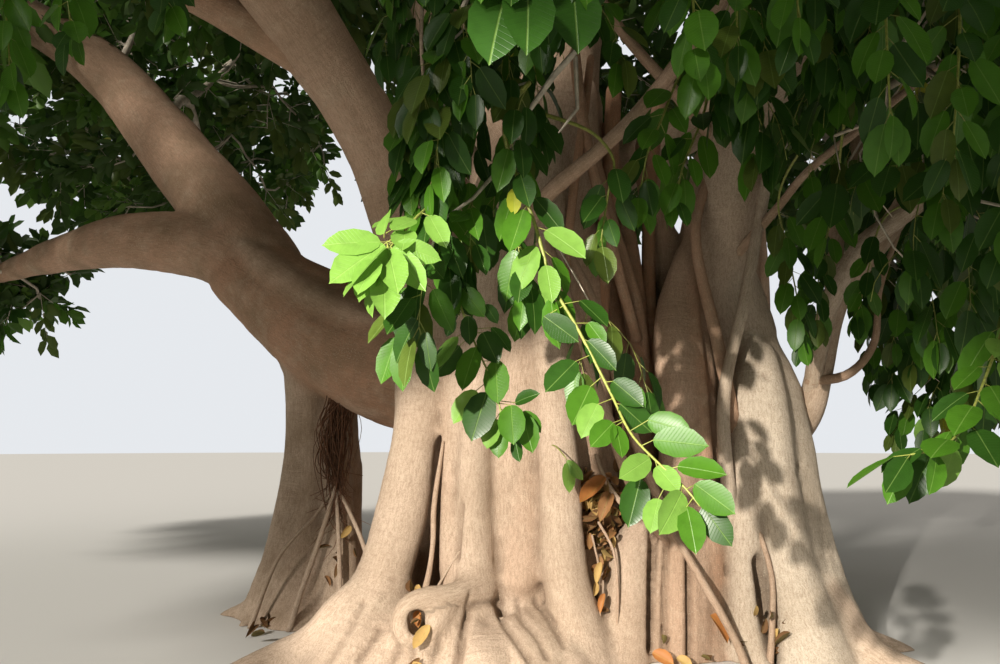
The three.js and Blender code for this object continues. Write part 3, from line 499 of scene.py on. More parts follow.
# Leaves set one by one along two of the sprays: base, tip and tone.
SPRAY_LEAVES = {
    "spray_middle": [
        ((-0.48, -2.92, 2.39), (-0.5, -2.97, 2.17), 1), ((-0.43, -2.93, 2.33), (-0.33, -2.99, 2.19), 1),
        ((-0.32, -2.94, 2.25), (-0.26, -2.96, 2.16), 0), ((-0.47, -2.95, 2.18), (-0.5, -2.98, 2.09), 0),
        ((-0.4, -2.97, 2.19), (-0.39, -3.01, 2.05), 0), ((-0.45, -2.98, 2.09), (-0.54, -3.03, 1.94), 2),
        ((-0.44, -2.95, 2.05), (-0.56, -2.99, 1.9), 0), ((-0.36, -2.99, 2.04), (-0.43, -3.06, 1.84), 1),
        ((-0.33, -2.98, 2.11), (-0.26, -3.04, 1.96), 0), ((-0.29, -2.94, 2.14), (-0.19, -2.97, 2.03), 0),
        ((-0.27, -2.98, 1.98), (-0.26, -3.05, 1.77), 1), ((-0.36, -2.96, 1.84), (-0.47, -3.0, 1.69), 2),
        ((-0.31, -3.0, 1.83), (-0.38, -3.06, 1.61), 0), ((-0.27, -2.96, 1.71), (-0.31, -3.0, 1.57), 2),
        ((-0.2, -3.01, 1.77), (-0.19, -3.08, 1.59), 1), ((-0.18, -2.97, 1.78), (-0.08, -3.04, 1.83), 0),
        ((-0.25, -2.96, 1.68), (-0.26, -2.99, 1.53), 1), ((-0.15, -2.98, 1.73), (-0.1, -3.04, 1.56), 1),
        ((-0.15, -2.96, 1.74), (-0.06, -2.99, 1.65), 1), ((-0.18, -2.94, 1.62), (-0.16, -2.97, 1.51), 0),
    ],
    "spray_right": [
        ((-0.05, -3.07, 2.17), (0.1, -3.13, 2.05), 0), ((0.08, -3.2, 1.95), (-0.06, -3.28, 1.81), 0),
        ((0.12, -3.04, 2.25), (0.24, -3.1, 2.12), 0), ((0.15, -3.08, 2.14), (0.22, -3.13, 2.03), 1),
        ((0.14, -3.13, 2.05), (0.25, -3.21, 1.92), 0), ((0.14, -3.22, 1.84), (0.05, -3.3, 1.67), 1),
        ((0.16, -3.29, 1.76), (0.08, -3.37, 1.63), 2), ((0.21, -3.38, 1.68), (0.11, -3.47, 1.59), 1),
        ((0.22, -3.38, 1.67), (0.23, -3.46, 1.54), 1), ((0.23, -3.25, 1.86), (0.34, -3.34, 1.75), 0),
        ((0.25, -3.31, 1.76), (0.38, -3.31, 1.64), 0), ((0.34, -3.43, 1.69), (0.49, -3.52, 1.64), 1),
        ((0.35, -3.47, 1.61), (0.54, -3.57, 1.59), 1), ((0.42, -3.56, 1.51), (0.58, -3.65, 1.49), 1),
        ((0.46, -3.65, 1.45), (0.58, -3.73, 1.35), 1), ((0.49, -3.64, 1.37), (0.56, -3.72, 1.24), 0),
        ((0.43, -3.64, 1.37), (0.44, -3.73, 1.22), 1), ((0.42, -3.62, 1.42), (0.32, -3.72, 1.28), 2),
        ((0.35, -3.54, 1.39), (0.3, -3.62, 1.28), 2), ((0.3, -3.45, 1.46), (0.24, -3.5, 1.28), 0),
        ((0.33, -3.5, 1.54), (0.2, -3.59, 1.47), 2), ((0.35, -3.52, 1.51), (0.41, -3.62, 1.42), 2),
    ],
}

# The twig on the trunk that bears two young leaves.
SPRIG = [(0.12, -0.6, 1.58), (0.17, -0.78, 1.57), (0.234, -0.9, 1.487)]

# Shoots that hang low from the front of the crown, close to the eye.
LOW_SHOOTS = [
    [(-0.34, -4.2, 3.6), (-0.3, -4.3, 3.35), (-0.25, -4.38, 3.12), (-0.22, -4.42, 2.98)],
    [(0.08, -4.1, 3.6), (0.04, -4.22, 3.4), (0.01, -4.3, 3.2), (-0.01, -4.32, 3.08)],
    [(-0.08, -3.9, 3.7), (-0.1, -4.0, 3.5), (-0.12, -4.05, 3.25)],
    [(0.55, -3.55, 3.9), (0.54, -3.6, 3.6), (0.53, -3.65, 3.3), (0.53, -3.68, 3.12)],
    [(0.8, -3.4, 3.95), (0.76, -3.5, 3.7), (0.74, -3.55, 3.45), (0.73, -3.56, 3.25)],
    [(1.02, -3.45, 3.95), (1.0, -3.5, 3.75), (0.98, -3.58, 3.5), (0.97, -3.6, 3.3)],
    [(1.46, -3.35, 4.0), (1.42, -3.45, 3.6), (1.38, -3.5, 3.25), (1.36, -3.52, 2.95)],
    [(1.9, -3.2, 4.0), (1.84, -3.3, 3.6), (1.76, -3.36, 3.2), (1.68, -3.4, 2.84)],
    [(2.25, -3.0, 4.0), (2.2, -3.1, 3.6), (2.12, -3.2, 3.2), (2.05, -3.24, 2.8), (1.98, -3.26, 2.5)],
    [(-0.6, -3.35, 3.95), (-0.58, -3.42, 3.8), (-0.55, -3.46, 3.66)],
    [(-2.7, -2.7, 4.5), (-2.6, -2.8, 4.2), (-2.5, -2.86, 3.9), (-2.44, -2.9, 3.7)],
    [(-2.2, -2.5, 4.5), (-2.14, -2.6, 4.2), (-2.08, -2.66, 4.0)],
    [(-3.2, -2.4, 4.5), (-3.1, -2.5, 4.2), (-3.0, -2.56, 3.85), (-2.94, -2.6, 3.6)],
    [(1.86, -1.01, 3.42), (1.92, -0.96, 3.08), (1.97, -0.96, 2.73), (2.0, -0.96, 2.39)],
    [(2.36, -0.93, 3.53), (2.24, -0.92, 3.13), (2.16, -0.91, 2.78), (2.15, -0.88, 2.52)],
    [(2.63, -0.98, 3.23), (2.54, -0.93, 2.89), (2.44, -0.94, 2.58)],
    [(0.75, -2.45, 3.62), (0.65, -2.52, 3.38), (0.56, -2.54, 3.17), (0.51, -2.56, 2.95)],
    [(0.35, -2.68, 3.07), (0.32, -2.71, 2.92), (0.29, -2.73, 2.76), (0.27, -2.73, 2.64)],
    [(0.94, -2.34, 3.51), (0.85, -2.41, 3.3), (0.78, -2.43, 3.14), (0.73, -2.46, 2.97)],
]

# Leaves set one by one on the lowest shoots in front: the shoot's number, then each leaf. All four take the
# dark tone as painted shade, darker than the low light leaves them.
LOW_LEAVES = {
    0: [((-0.23, -4.42, 2.91), (-0.28, -4.52, 2.66), 0), ((-0.17, -4.45, 2.91), (-0.17, -4.54, 2.67), 0)],
    1: [((-0.03, -4.33, 2.99), (-0.02, -4.42, 2.73), 0), ((-0.05, -4.33, 3.0), (-0.1, -4.36, 2.84), 0)],
}

# Dry leaves caught in the tree: place, spread, how many and their length.
DRY_LEAVES = [
    ((0.53, -0.5, 1.06), (0.09, 0.05, 0.19), 85, 0.14), ((0.53, -0.62, 0.62), (0.035, 0.04, 0.16), 12, 0.11),
    ((-0.86, -0.66, 0.46), (0.05, 0.04, 0.04), 7, 0.12), ((-0.82, -1.02, 0.4), (0.01, 0.02, 0.02), 2, 0.09),
    ((-0.72, -1.14, 0.16), (0.02, 0.02, 0.03), 1, 0.14), ((1.72, -0.72, 0.2), (0.05, 0.04, 0.1), 7, 0.13),
    ((-1.55, 0.3, 0.04), (0.4, 0.3, 0.02), 14, 0.15), ((-1.7, 0.45, 0.5), (0.1, 0.05, 0.2), 8, 0.13),
    ((1.1, -0.66, 0.1), (0.2, 0.06, 0.06), 7, 0.14),
]

# Single dry leaves: base, tip, tone and width. The tones are brown, pale, dull and orange.
LONE_DRY_LEAVES = [
    ((0.56, -0.62, 1.34), (0.36, -0.7, 1.1), 3, 0.75), ((0.6, -0.6, 1.22), (0.5, -0.72, 1.04), 0, 0.9),
    ((-0.835, -0.92, 0.42), (-0.825, -0.98, 0.32), 3, 1.1),
    ((-0.735, -1.06, 0.355), (-0.824, -1.11, 0.2), 1, 0.9),
    ((-0.86, -1.14, 0.12), (-0.74, -1.16, 0.08), 1, 1.0), ((0.85, -0.78, 0.1), (0.99, -0.84, 0.03), 3, 1.2),
    ((1.02, -0.8, 0.07), (1.12, -0.86, 0.02), 1, 1.1), ((1.3, -0.7, 0.34), (1.44, -0.76, 0.18), 3, 1.2),
    ((-0.86, -0.72, 0.56), (-0.83, -0.78, 0.47), 1, 0.9), ((0.5, -0.72, 0.72), (0.45, -0.78, 0.58), 1, 0.7),
    ((0.46, -0.74, 0.58), (0.42, -0.8, 0.48), 1, 0.7), ((0.52, -0.74, 0.5), (0.47, -0.8, 0.38), 3, 0.7),
]

# For each spray: the share of its shoot that is bare, the gap between leaves and the share of bright leaves.
SPRAY_HABITS = {
    "spray_left": (0.3, 0.12, 1.0),
    "spray_middle": (0.12, 0.052, 0.1),
    "spray_right": (0.2, 0.058, 0.2),
    "spray_low_right": (0.35, 0.055, 0.15),
}

FINISH_OF_NODE = {part["node"]: part["material_slot"] for part in frame["record"]["subparts"]}
CROWN_MASSES = sorted(name for name, finish in FINISH_OF_NODE.items() if finish == "crown_leaves")
# The shoots that hang from each end of the branches in a curtain.
CURTAIN_SPRAYS = {"curtain_centre": 2.2, "curtain_upper_right": 1.6, "curtain_right": 1.0, "low_right": 0.9}


def length_property(name, description, default, low, **more):
    return bpy.props.FloatProperty(
        name=name, description=description, default=default, min=low, unit="LENGTH", **more)


def strength_property(name, description, default, **more):
    return bpy.props.FloatProperty(name=name, description=description, default=default, min=0, **more)


def count_property(name, description, default, low):
    return bpy.props.IntProperty(name=name, description=description, default=default, min=low)


def colour_property(name, description, default):
    return bpy.props.FloatVectorProperty(
        name=name, description=description, default=default, size=3, min=0, max=1, subtype="COLOR")


class BanyanWood(bpy.types.PropertyGroup):
    """Sizes of the wood"""

    trunk_grain: length_property("Trunk Grain", "Size of the faces on the trunk", 0.023, 0.015, max=0.1)
    bough_grain: length_property("Bough Grain", "Size of the faces on the left boughs", 0.032, 0.02, max=0.1)
    relief: strength_property("Relief", "How deep the bark's flutes and folds are", 1.0, max=3)
    hair_roots: count_property("Hair Roots", "How many hair roots hang on the left pillar", 90, 0)


class BanyanCrown(bpy.types.PropertyGroup):
    """Sizes of the crown"""

    seed: count_property("Seed", "Another number grows another crown", 7, 0)
    branch_gap: length_property("Branch Gap", "Least distance between two ends of branches", BRANCH_GAP, 0.3)
    curtain_gap: length_property("Curtain Gap", "The same in the hanging curtains", 0.25, 0.15)
    shell: length_property("Shell", "Depth of the outer layer that bears most leaves", 1.5, 0.3)
    crown_leaf: length_property("Crown Leaf", "Length of a leaf in the crown", 0.27, 0.1)
    near_leaf: length_property("Near Leaf", "Length of a leaf in the curtains and sprays", 0.235, 0.1)
    leaves_on_spray: count_property("Leaves on a Spray", "Leaves on each spray of the crown", 11, 3)


class BanyanColours(bpy.types.PropertyGroup):
    """Colours of the bark and the leaves"""

    bark_pale: colour_property("Pale Bark", "Young or rubbed bark", (0.6, 0.46, 0.35))
    # the colour of the real fissures, and dimmed, of the painted shade in hollows and cracks
    bark_deep: colour_property("Deep Bark", "Bark in the fissures", (0.23, 0.15, 0.095))
    bark_red: colour_property("Red Bark", "Bark of the hanging roots", (0.42, 0.2, 0.105))
    bark_grey: colour_property("Grey Bark", "Weathered bark on the right stem", (0.64, 0.56, 0.45))
    # the colour of real stains, and on the boughs also of painted shade
    bark_stain: colour_property("Stained Bark", "Broad stains on the bark", (0.25, 0.175, 0.105))
    pore: colour_property("Pores", "Speckles on the bark", (0.7, 0.58, 0.44))
    shoot: colour_property("Shoots", "Green shoots and leaf stalks", (0.3, 0.33, 0.07))
    leaf_dark: colour_property("Dark Leaves", "Old leaves", (0.02, 0.062, 0.007))
    leaf_mid: colour_property("Middle Leaves", "Full-grown leaves", (0.05, 0.14, 0.01))
    leaf_bright: colour_property("Bright Leaves", "Young leaves", (0.14, 0.27, 0.045))
    leaf_olive: colour_property("Olive Leaves", "Dull leaves in the shade", (0.065, 0.1, 0.015))
    leaf_yellow: colour_property("Yellow Leaves", "Leaves about to drop", (0.3, 0.32, 0.03))
    dry_leaf: colour_property("Dry Leaves", "Leaves caught between the stems", (0.3, 0.15, 0.06))


class BanyanStudio(bpy.types.PropertyGroup):
    """Floor and lights"""

    floor: colour_property("Floor", "Colour of the floor", (0.72, 0.71, 0.69))
    backdrop: strength_property("Backdrop", "Brightness of the backdrop", 0.85)
    sky: strength_property("Soft Light", "Strength of the light from all round", 0.36)
    key: strength_property("Key Light", "Strength of the light from the front left", 3.4)
    under: strength_property("Low Light", "Power of the light under the crown", 5600.0, subtype="POWER")


def unit(vectors):
    return vectors / np.maximum(np.linalg.norm(vectors, axis=-1, keepdims=True), 1e-9)


def square_to(vectors, axes):
    """The vectors turned the least way that makes them square to the axes."""
    return unit(vectors - axes * np.sum(vectors * axes, axis=-1, keepdims=True))


def sides_of(headings):
    """Two directions across each heading, square to each other."""
    side = square_to(np.where(np.abs(headings[:, 2:]) < 0.9, UP, [1.0, 0, 0]), headings)
    return side, np.cross(headings, side)


def soft_noise(places, seed):
    """Smooth noise between -1 and 1."""
    cell = np.floor(places).astype(np.int64)
    part = places - cell
    part = part * part * (3 - 2 * part)
    total = np.zeros(len(places))
    for corner in np.ndindex(2, 2, 2):
        x, y, z = (cell + corner).T
        mixed = (x * 374761393 + y * 668265263 + z * 1442695041 + seed * 974634777) & 0xFFFFFFFF
        mixed = ((mixed ^ (mixed >> 13)) * 1274126177) & 0xFFFFFFFF
        value = (mixed ^ (mixed >> 16)) / 0x7FFFFFFF - 1
        total += value * np.prod(np.where(corner, part, 1 - part), axis=1)
    return total


def line_through(points, spacing):
    """Evenly spaced places on a smooth line through the points, and how far along it each lies."""
    points = np.array(points, float)
    ends = np.vstack([2 * points[:1] - points[1:2], points, 2 * points[-1:] - points[-2:-1]])
    fine = []
    for a, b, c, d in zip(ends, ends[1:], ends[2:], ends[3:]):
        steps = [max(np.linalg.norm(q - p), 1e-6) ** 0.5 for p, q in ((a, b), (b, c), (c, d))]
        k0, k1, k2, k3 = np.cumsum([0, *steps])
        t = np.linspace(k1, k2, 12, endpoint=False)[:, None]
        ab = ((k1 - t) * a + (t - k0) * b) / (k1 - k0)
        bc = ((k2 - t) * b + (t - k1) * c) / (k2 - k1)
        cd = ((k3 - t) * c + (t - k2) * d) / (k3 - k2)
        early = ((k2 - t) * ab + (t - k0) * bc) / (k2 - k0)
        late = ((k3 - t) * bc + (t - k1) * cd) / (k3 - k1)
        fine.append(((k2 - t) * early + (t - k1) * late) / (k2 - k1))
    fine = np.vstack([*fine, points[-1:]])
    length = np.concatenate([[0], np.cumsum(np.linalg.norm(np.diff(fine, axis=0), axis=1))])
    along = np.linspace(0, length[-1], max(2, round(length[-1] / spacing) + 1))
    return np.column_stack([np.interp(along, length, fine[:, k]) for k in range(3)]), along


def frames_along(places, upright):
    """For each place on a line: the way ahead and two directions across it."""
    ahead = unit(np.gradient(places, axis=0))
    if upright:
        return ahead, np.tile([1.0, 0, 0], (len(places), 1)), np.tile([0, 1.0, 0], (len(places), 1))
    side = np.cross(ahead[0], UP if abs(ahead[0][2]) < 0.9 else [1.0, 0, 0])
    right = np.empty_like(places)
    for i, heading in enumerate(ahead):
        side = side - heading * np.dot(side, heading)
        side = side / np.linalg.norm(side)
        right[i] = side
    return ahead, right, np.cross(ahead, right)


def ring_triangles(rings, sides):
    """Triangles of a closed tube: its rings' corners in order, then a point for each end."""
    ring = np.arange(rings - 1)[:, None] * sides
    here = np.arange(sides)[None, :]
    after = (here + 1) % sides
    a, b = (ring + here).ravel(), (ring + after).ravel()
    here, after = here.ravel(), after.ravel()
    last = (rings - 1) * sides
    foot, tip = np.full(sides, rings * sides), np.full(sides, rings * sides + 1)
    walls = [(a, b, b + sides), (a, b + sides, a + sides)]
    caps = [(foot, after, here), (tip, last + here, last + after)]
    return np.vstack([np.column_stack(row) for row in walls + caps])


def tube_of(strand, spacing, sides, domed=True, depth=0.0):
    """A strand as a closed tube: corners, triangles, and the grain's place at each corner."""
    places, along = line_through(strand.points, spacing)
    ahead, right, front = frames_along(places, strand.upright)
    radii = strand.radii_at(along)
    order = np.arange(len(places))
    shift = np.zeros(len(places))
    scale = np.ones(len(places))
    if domed:
        order = np.concatenate([[0] * 3, order, [len(places) - 1] * 3])
        shift = np.concatenate([-radii[0] * np.sin(DOME), shift, radii[-1] * np.sin(DOME[::-1])])
        scale = np.concatenate([np.cos(DOME), scale, np.cos(DOME[::-1])])
    ahead, right, front = ahead[order], right[order], front[order]
    places = places[order] + ahead * shift[:, None]
    along = along[order] + shift
    turn = np.arange(sides) * ANY_TURN / sides
    radius = radii[order][:, None] * np.ones(sides)
    for count, flute, phase in strand.flutes:
        radius *= 1 + flute * np.cos(count * turn + phase)
    for toward, reach, width, fade in strand.toes:
        off = np.arctan2(np.sin(turn - toward), np.cos(turn - toward))
        radius += reach * np.exp(-((off / width) ** 2) - np.maximum(places[:, 2:], 0) / fade)
    radius *= scale[:, None]
    across, forth = radius * np.cos(turn), radius * np.sin(turn)
    grain = np.dstack([across, forth, np.broadcast_to(along[:, None], across.shape)]).reshape(-1, 3)
    if depth:
        lift = depth * relief_of(grain, radius.ravel(), np.repeat(places[:, 2], sides))
        grown = 1 + (lift.reshape(radius.shape) * scale[:, None]) / np.maximum(radius, 1e-3)
        across, forth = across * grown, forth * grown
    corners = places[:, None] + across[..., None] * right[:, None] + forth[..., None] * front[:, None]
    # how far the point of each end stands out, for its radius
    tip = 0.05 if domed else 0.6
    poles = places[[0, -1]] + ahead[[0, -1]] * (radii[[0, -1]] * [-tip, tip])[:, None]
    pole_grain = np.array([[0, 0, along[0]], [0, 0, along[-1]]])
    return (
        np.vstack([corners.reshape(-1, 3), poles]),
        ring_triangles(len(places), sides),
        np.vstack([grain, pole_grain]),
    )


def joined(shapes):
    """Several shapes, each a tuple of corners, triangles and more rows for each corner, as one."""
    corners, triangles, *rest = zip(*shapes)
    starts = np.cumsum([0, *(len(part) for part in corners[:-1])])
    return (
        np.vstack(corners),
        np.vstack([part + start for part, start in zip(triangles, starts)]),
        *(np.concatenate(rows) for rows in rest),
    )


def mesh_from(name, corners, triangles, finish_of=None, across=None):
    """A smooth mesh of triangles. Each may have a number for its finish, and each corner a leaf's place."""
    mesh = bpy.data.meshes.new(name)
    mesh.vertices.add(len(corners))
    mesh.vertices.foreach_set("co", np.asarray(corners, np.float32).ravel())
    mesh.loops.add(triangles.size)
    mesh.loops.foreach_set("vertex_index", np.asarray(triangles, np.int32).ravel())
    mesh.polygons.add(len(triangles))
    mesh.polygons.foreach_set("loop_start", np.arange(0, triangles.size, 3, dtype=np.int32))
    mesh.polygons.foreach_set("use_smooth", np.ones(len(triangles), bool))
    if finish_of is not None:
        mesh.polygons.foreach_set("material_index", np.asarray(finish_of, np.int32))
    if across is not None:
        layer = mesh.uv_layers.new(name="leaf")
        layer.uv.foreach_set("vector", np.asarray(across[triangles.ravel()], np.float32).ravel())
    mesh.update(calc_edges=True)
    return mesh


def new_piece(mesh, finishes, replaced=()):
    """A mesh as a piece of the tree, which rides on it and stands for nodes of the frame."""
    piece = bpy.data.objects.new(mesh.name, mesh)
    bpy.context.scene.collection.objects.link(piece)
    for finish in finishes:
        mesh.materials.append(finish)
    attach(piece, "root")
    if replaced:
        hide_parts(*replaced)
    return piece


def mark(mesh, name, values, domain="POINT"):
    """Keeps a number or a vector for each corner, under a name that a material reads."""
    kind = "FLOAT" if values.ndim == 1 else "FLOAT_VECTOR"
    layer = mesh.attributes.new(name, kind, domain)
    layer.data.foreach_set("value" if values.ndim == 1 else "vector", np.asarray(values, np.float32).ravel())


# Swellings of the bark: how close they stand across the limb and along it, and how far they stand
# out. The first are long flutes, the next finer ribs, and the last are lumps.
SWELLINGS = [(3.2, 0.45, 0.016), (9, 0.9, 0.009), (2.2, 2.2, 0.014)]


def relief_of(grain, radius, height):
    """How far the bark stands out: its swellings, and folds that are deepest near the foot."""
    total = 0
    for seed, (across, along, depth) in enumerate(SWELLINGS, 1):
        total = total + depth * soft_noise(grain * [across, across, along], seed)
    folds = soft_noise(grain * [3, 3, 15], len(SWELLINGS) + 1)
    foot = np.exp(-np.maximum(height, 0) / 0.6)
    return np.clip(radius / 0.25, 0.1, 1) * (total + (0.0025 + 0.006 * foot) * folds)


def grain_shift(number):
    """A strand's own shift across the grain, so that no two strands beside each other look the same."""
    return number * 0.83 % 6


def settle(values, edges, rounds, share=0.5):
    """Moves each corner's value toward those of its neighbours, several times, by a share, which may
    be a number for each corner."""
    one, other = edges.T
    count = np.bincount(edges.ravel(), minlength=len(values)).astype(float)
    columns = values.reshape(len(values), -1).copy()
    for _ in range(rounds):
        for k in range(columns.shape[1]):
            column = columns[:, k]
            total = sum(np.bincount(a, column[b], len(column)) for a, b in ((one, other), (other, one)))
            columns[:, k] = column + share * (total / np.maximum(count, 1) - column)
    return columns.reshape(values.shape)


def along_strand(places, strand, number):
    """For each place: its gap to the strand's skin, its place in the strand's grain, and the radius there."""
    line, along = line_through(strand.points, 0.07)
    ahead, right, front = frames_along(line, strand.upright)
    radii = strand.radii_at(along)
    gap, grain, radius = np.empty(len(places)), np.empty((len(places), 3)), np.empty(len(places))
    for start in range(0, len(places), HANDFUL):
        part = slice(start, start + HANDFUL)
        away = np.zeros((len(places[part]), len(line)), np.float32)
        for k in range(3):
            away += (places[part, k].astype(np.float32)[:, None] - line[None, :, k].astype(np.float32)) ** 2
        away = np.sqrt(away) - radii.astype(np.float32)
        spot = np.argmin(away, axis=1)
        offset = places[part] - line[spot]
        gap[part] = away[np.arange(len(spot)), spot]
        grain[part, 0] = np.sum(offset * right[spot], axis=1) + grain_shift(number)
        grain[part, 1] = np.sum(offset * front[spot], axis=1)
        grain[part, 2] = along[spot] + np.sum(offset * ahead[spot], axis=1)
        radius[part] = radii[spot]
    return gap, grain, radius


def nearest_strand(places, strands):
    """For each place: its strand's number, its place in that strand's grain and the strand's radius."""
    best = np.full(len(places), np.inf)
    number = np.zeros(len(places), int)
    grain = np.zeros((len(places), 3))
    radius = np.zeros(len(places))
    for this, strand in enumerate(strands):
        points, reach = np.array(strand.points), max(strand.radii) + 1.0
        inside = (places > points.min(axis=0) - reach) & (places < points.max(axis=0) + reach)
        near = np.flatnonzero(np.all(inside, axis=1))
        gap, its_grain, its_radius = along_strand(places[near], strand, this)
        wins = gap < best[near]
        won = near[wins]
        best[won], number[won], grain[won], radius[won] = gap[wins], this, its_grain[wins], its_radius[wins]
    return number, grain, radius


def mark_grain(mesh, strands):
    """Keeps for each face's corners their places in the grain of the one strand that it belongs to."""
    number = nearest_strand(read(mesh.polygons, "center").astype(float), strands)[0]
    owner = np.repeat(number, read(mesh.polygons, "loop_total", 1, np.int32)[:, 0])
    places = corners_of(mesh)[read(mesh.loops, "vertex_index", 1, np.int32)[:, 0]]
    grain = np.zeros(places.shape)
    for this in np.unique(number):
        mine = owner == this
        grain[mine] = along_strand(places[mine], strands[this], this)[1]
    mark(mesh, "grain", grain, "CORNER")


def through_modifier(mesh, name, kind, **settings):
    """The mesh as one modifier leaves it."""
    holder = bpy.data.objects.new(name, mesh)
    bpy.context.scene.collection.objects.link(holder)
    if "vertex_group" in settings:
        weights = settings.pop("weights")
        group = holder.vertex_groups.new(name=settings["vertex_group"])
        for weight in np.unique(weights):
            group.add(np.flatnonzero(weights == weight).tolist(), float(weight), "REPLACE")
    modifier = holder.modifiers.new(name, kind)
    for setting, value in settings.items():
        setattr(modifier, setting, value)
    made = bpy.data.meshes.new_from_object(holder.evaluated_get(bpy.context.evaluated_depsgraph_get()))
    bpy.data.objects.remove(holder)
    bpy.data.meshes.remove(mesh)
    return made


def read(rows, field, width=3, kind=np.float32):
    """A field of a mesh's rows, one line of numbers for each."""
    values = np.empty(len(rows) * width, kind)
    rows.foreach_get(field, values)
    return values.reshape(-1, width)


def corners_of(mesh):
    return read(mesh.vertices, "co").astype(float)


def move_corners(mesh, places):
    mesh.vertices.foreach_set("co", places.astype(np.float32).ravel())
    mesh.update()


def edges_of(mesh):
    return read(mesh.edges, "vertices", 2, np.int32)


def normals_of(mesh):
    return read(mesh.vertex_normals, "vector").astype(float)


def hollows(mesh, places, edges, rounds):
    """How deep each corner lies in a hollow between two swellings, from 0 to 1."""
    sunk = np.sum((settle(places, edges, rounds) - places) * normals_of(mesh), axis=1)
    return np.clip((settle(sunk, edges, 2) - 0.002) / 0.012, 0, 1)


def seams(number, edges):
    """1 where one strand meets the next, falling to 0 a few centimetres away."""
    meets = np.zeros(len(number))
    meets[edges[number[edges[:, 0]] != number[edges[:, 1]]].ravel()] = 1
    return np.clip(settle(meets, edges, 10) * 5, 0, 1)


def dents(places):
    """The depth of the cracks and knots in the trunk's front."""
    depth = np.zeros(len(places))
    for line, width, deep in DENTS:
        points = line_through(line, 0.01)[0] if len(line) > 1 else np.array(line, float)
        reach = np.ptp(points, axis=0) / 2 + 0.3
        near = np.flatnonzero(np.all(np.abs(places - points.mean(axis=0)) < reach, axis=1))
        for start in range(0, len(near), HANDFUL):
            part = near[start:start + HANDFUL]
            away = np.linalg.norm((places[part, None] - points[None]) * [1, 0.12, 1], axis=2).min(axis=1)
            depth[part] = np.maximum(depth[part], deep * np.exp(-((away / width) ** 2)))
    return depth


def fused_wood(name, strands, cell, depth, most):
    """Strands grown into one another, with the bark's relief and with creases where two meet, marked for
    painted shade.
    The far side is thinned until no more than so many triangles are left, and the foot is cut level."""
    corners, triangles, _ = joined([tube_of(strand, 0.05, 40) for strand in strands])
    mesh = mesh_from(name + "_rough", corners, triangles)
    mesh = through_modifier(mesh, "Fuse", "REMESH", mode="VOXEL", voxel_size=cell)
    places, edges = corners_of(mesh), edges_of(mesh)
    number, grain, radius = nearest_strand(places, strands)
    # the seams between strands are smoothed, thick wood more than thin
    radius = settle(radius, edges, 6)
    places = settle(places, edges, 20, 0.5 * np.clip((radius - 0.03) / 0.12, 0.1, 1))
    # the foot is smoothed once more, the left leg most
    foot = np.clip((0.95 - places[:, 2]) / 0.4, 0, 1) * np.clip((radius - 0.1) / 0.06, 0, 1)
    left = np.clip((-0.66 - places[:, 0]) / 0.15, 0, 1)
    places = settle(places, edges, 16, foot * (0.06 + 0.44 * left))
    move_corners(mesh, places)
    hollow = hollows(mesh, places, edges, 14)
    relief = relief_of(grain, radius, places[:, 2]) * (1 - seams(number, edges))
    lift = depth * (relief - 0.02 * hollow - dents(places))
    places += normals_of(mesh) * settle(lift, edges, 1)[:, None]
    move_corners(mesh, places)
    count = len(mesh.polygons) * 2
    if count > most:
        # the back and the top have fewer faces than the front
        far = np.where((places[:, 1] > 0.15) | (places[:, 2] > 4.2), 1.0, 0.25)
        mesh = through_modifier(mesh, "Thin", "DECIMATE", ratio=most / count, vertex_group="far", weights=far)
    mesh.name = name
    cut_at_ground(mesh)
    places, edges = corners_of(mesh), edges_of(mesh)
    number = nearest_strand(places, strands)[0]
    mark_grain(mesh, strands)
    # painted shade: the hollows between strands and the cracks and knots are kept as a mark that darkens the
    # bark
    crease = np.clip(hollows(mesh, places, edges, 8) * 1.3 + dents(places) * 12, 0, 1)
    mark(mesh, "crease", settle(crease, edges, 1))
    for trait in ("red", "grey"):
        mark(mesh, trait, settle(np.array([getattr(strand, trait) for strand in strands])[number], edges, 10))
    mesh.polygons.foreach_set("use_smooth", np.ones(len(mesh.polygons), bool))
    mesh.update()
    return mesh


def cut_at_ground(mesh):
    """Cuts off what reaches below the ground and closes the cut."""
    shape = bmesh.new()
    shape.from_mesh(mesh)
    bmesh.ops.bisect_plane(
        shape, geom=[*shape.verts, *shape.edges, *shape.faces], dist=1e-5,
        plane_co=(0, 0, 0), plane_no=(0, 0, 1), clear_inner=True)
    bmesh.ops.holes_fill(shape, edges=[edge for edge in shape.edges if edge.is_boundary], sides=0)
    bmesh.ops.triangulate(shape, faces=[face for face in shape.faces if len(face.verts) > 4])
    shape.to_mesh(mesh)
    shape.free()


def bark_tubes(name, strands, spacing, depth):
    """Strands that stay apart, each a tube with the bark's relief."""
    shapes = []
    for number, strand in enumerate(strands):
        sides = int(np.clip(max(strand.radii) * ANY_TURN / spacing, 7, 48))
        corners, triangles, grain = tube_of(strand, spacing, sides, depth=depth)
        grain[:, 0] += grain_shift(number)
        traits = [np.full(len(corners), trait) for trait in (0.0, strand.red, strand.grey)]
        shapes.append((corners, triangles, grain, *traits))
    corners, triangles, *marks = joined(shapes)
    mesh = mesh_from(name, corners, triangles)
    for trait, values in zip(("grain", "crease", "red", "grey"), marks):
        mark(mesh, trait, values)
    cut_at_ground(mesh)
    mesh.update()
    return mesh


def thin_piece(name, strands, spacing, sides, skin):
    """Thin strands as plain tubes: one piece."""
    mesh = mesh_from(name, *joined([tube_of(strand, spacing, sides, domed=False)[:2] for strand in strands]))
    return new_piece(mesh, [thin_skin(skin)])


def add(tree, kind, inputs=(), **settings):
    """A shader node with its settings, and with values or other nodes' sockets on its inputs."""
    node = tree.nodes.new(kind)
    for setting, value in settings.items():
        setattr(node, setting, value)
    for socket, value in dict(inputs).items():
        if isinstance(value, bpy.types.NodeSocket):
            tree.links.new(value, node.inputs[socket])
        else:
            node.inputs[socket].default_value = value
    return node


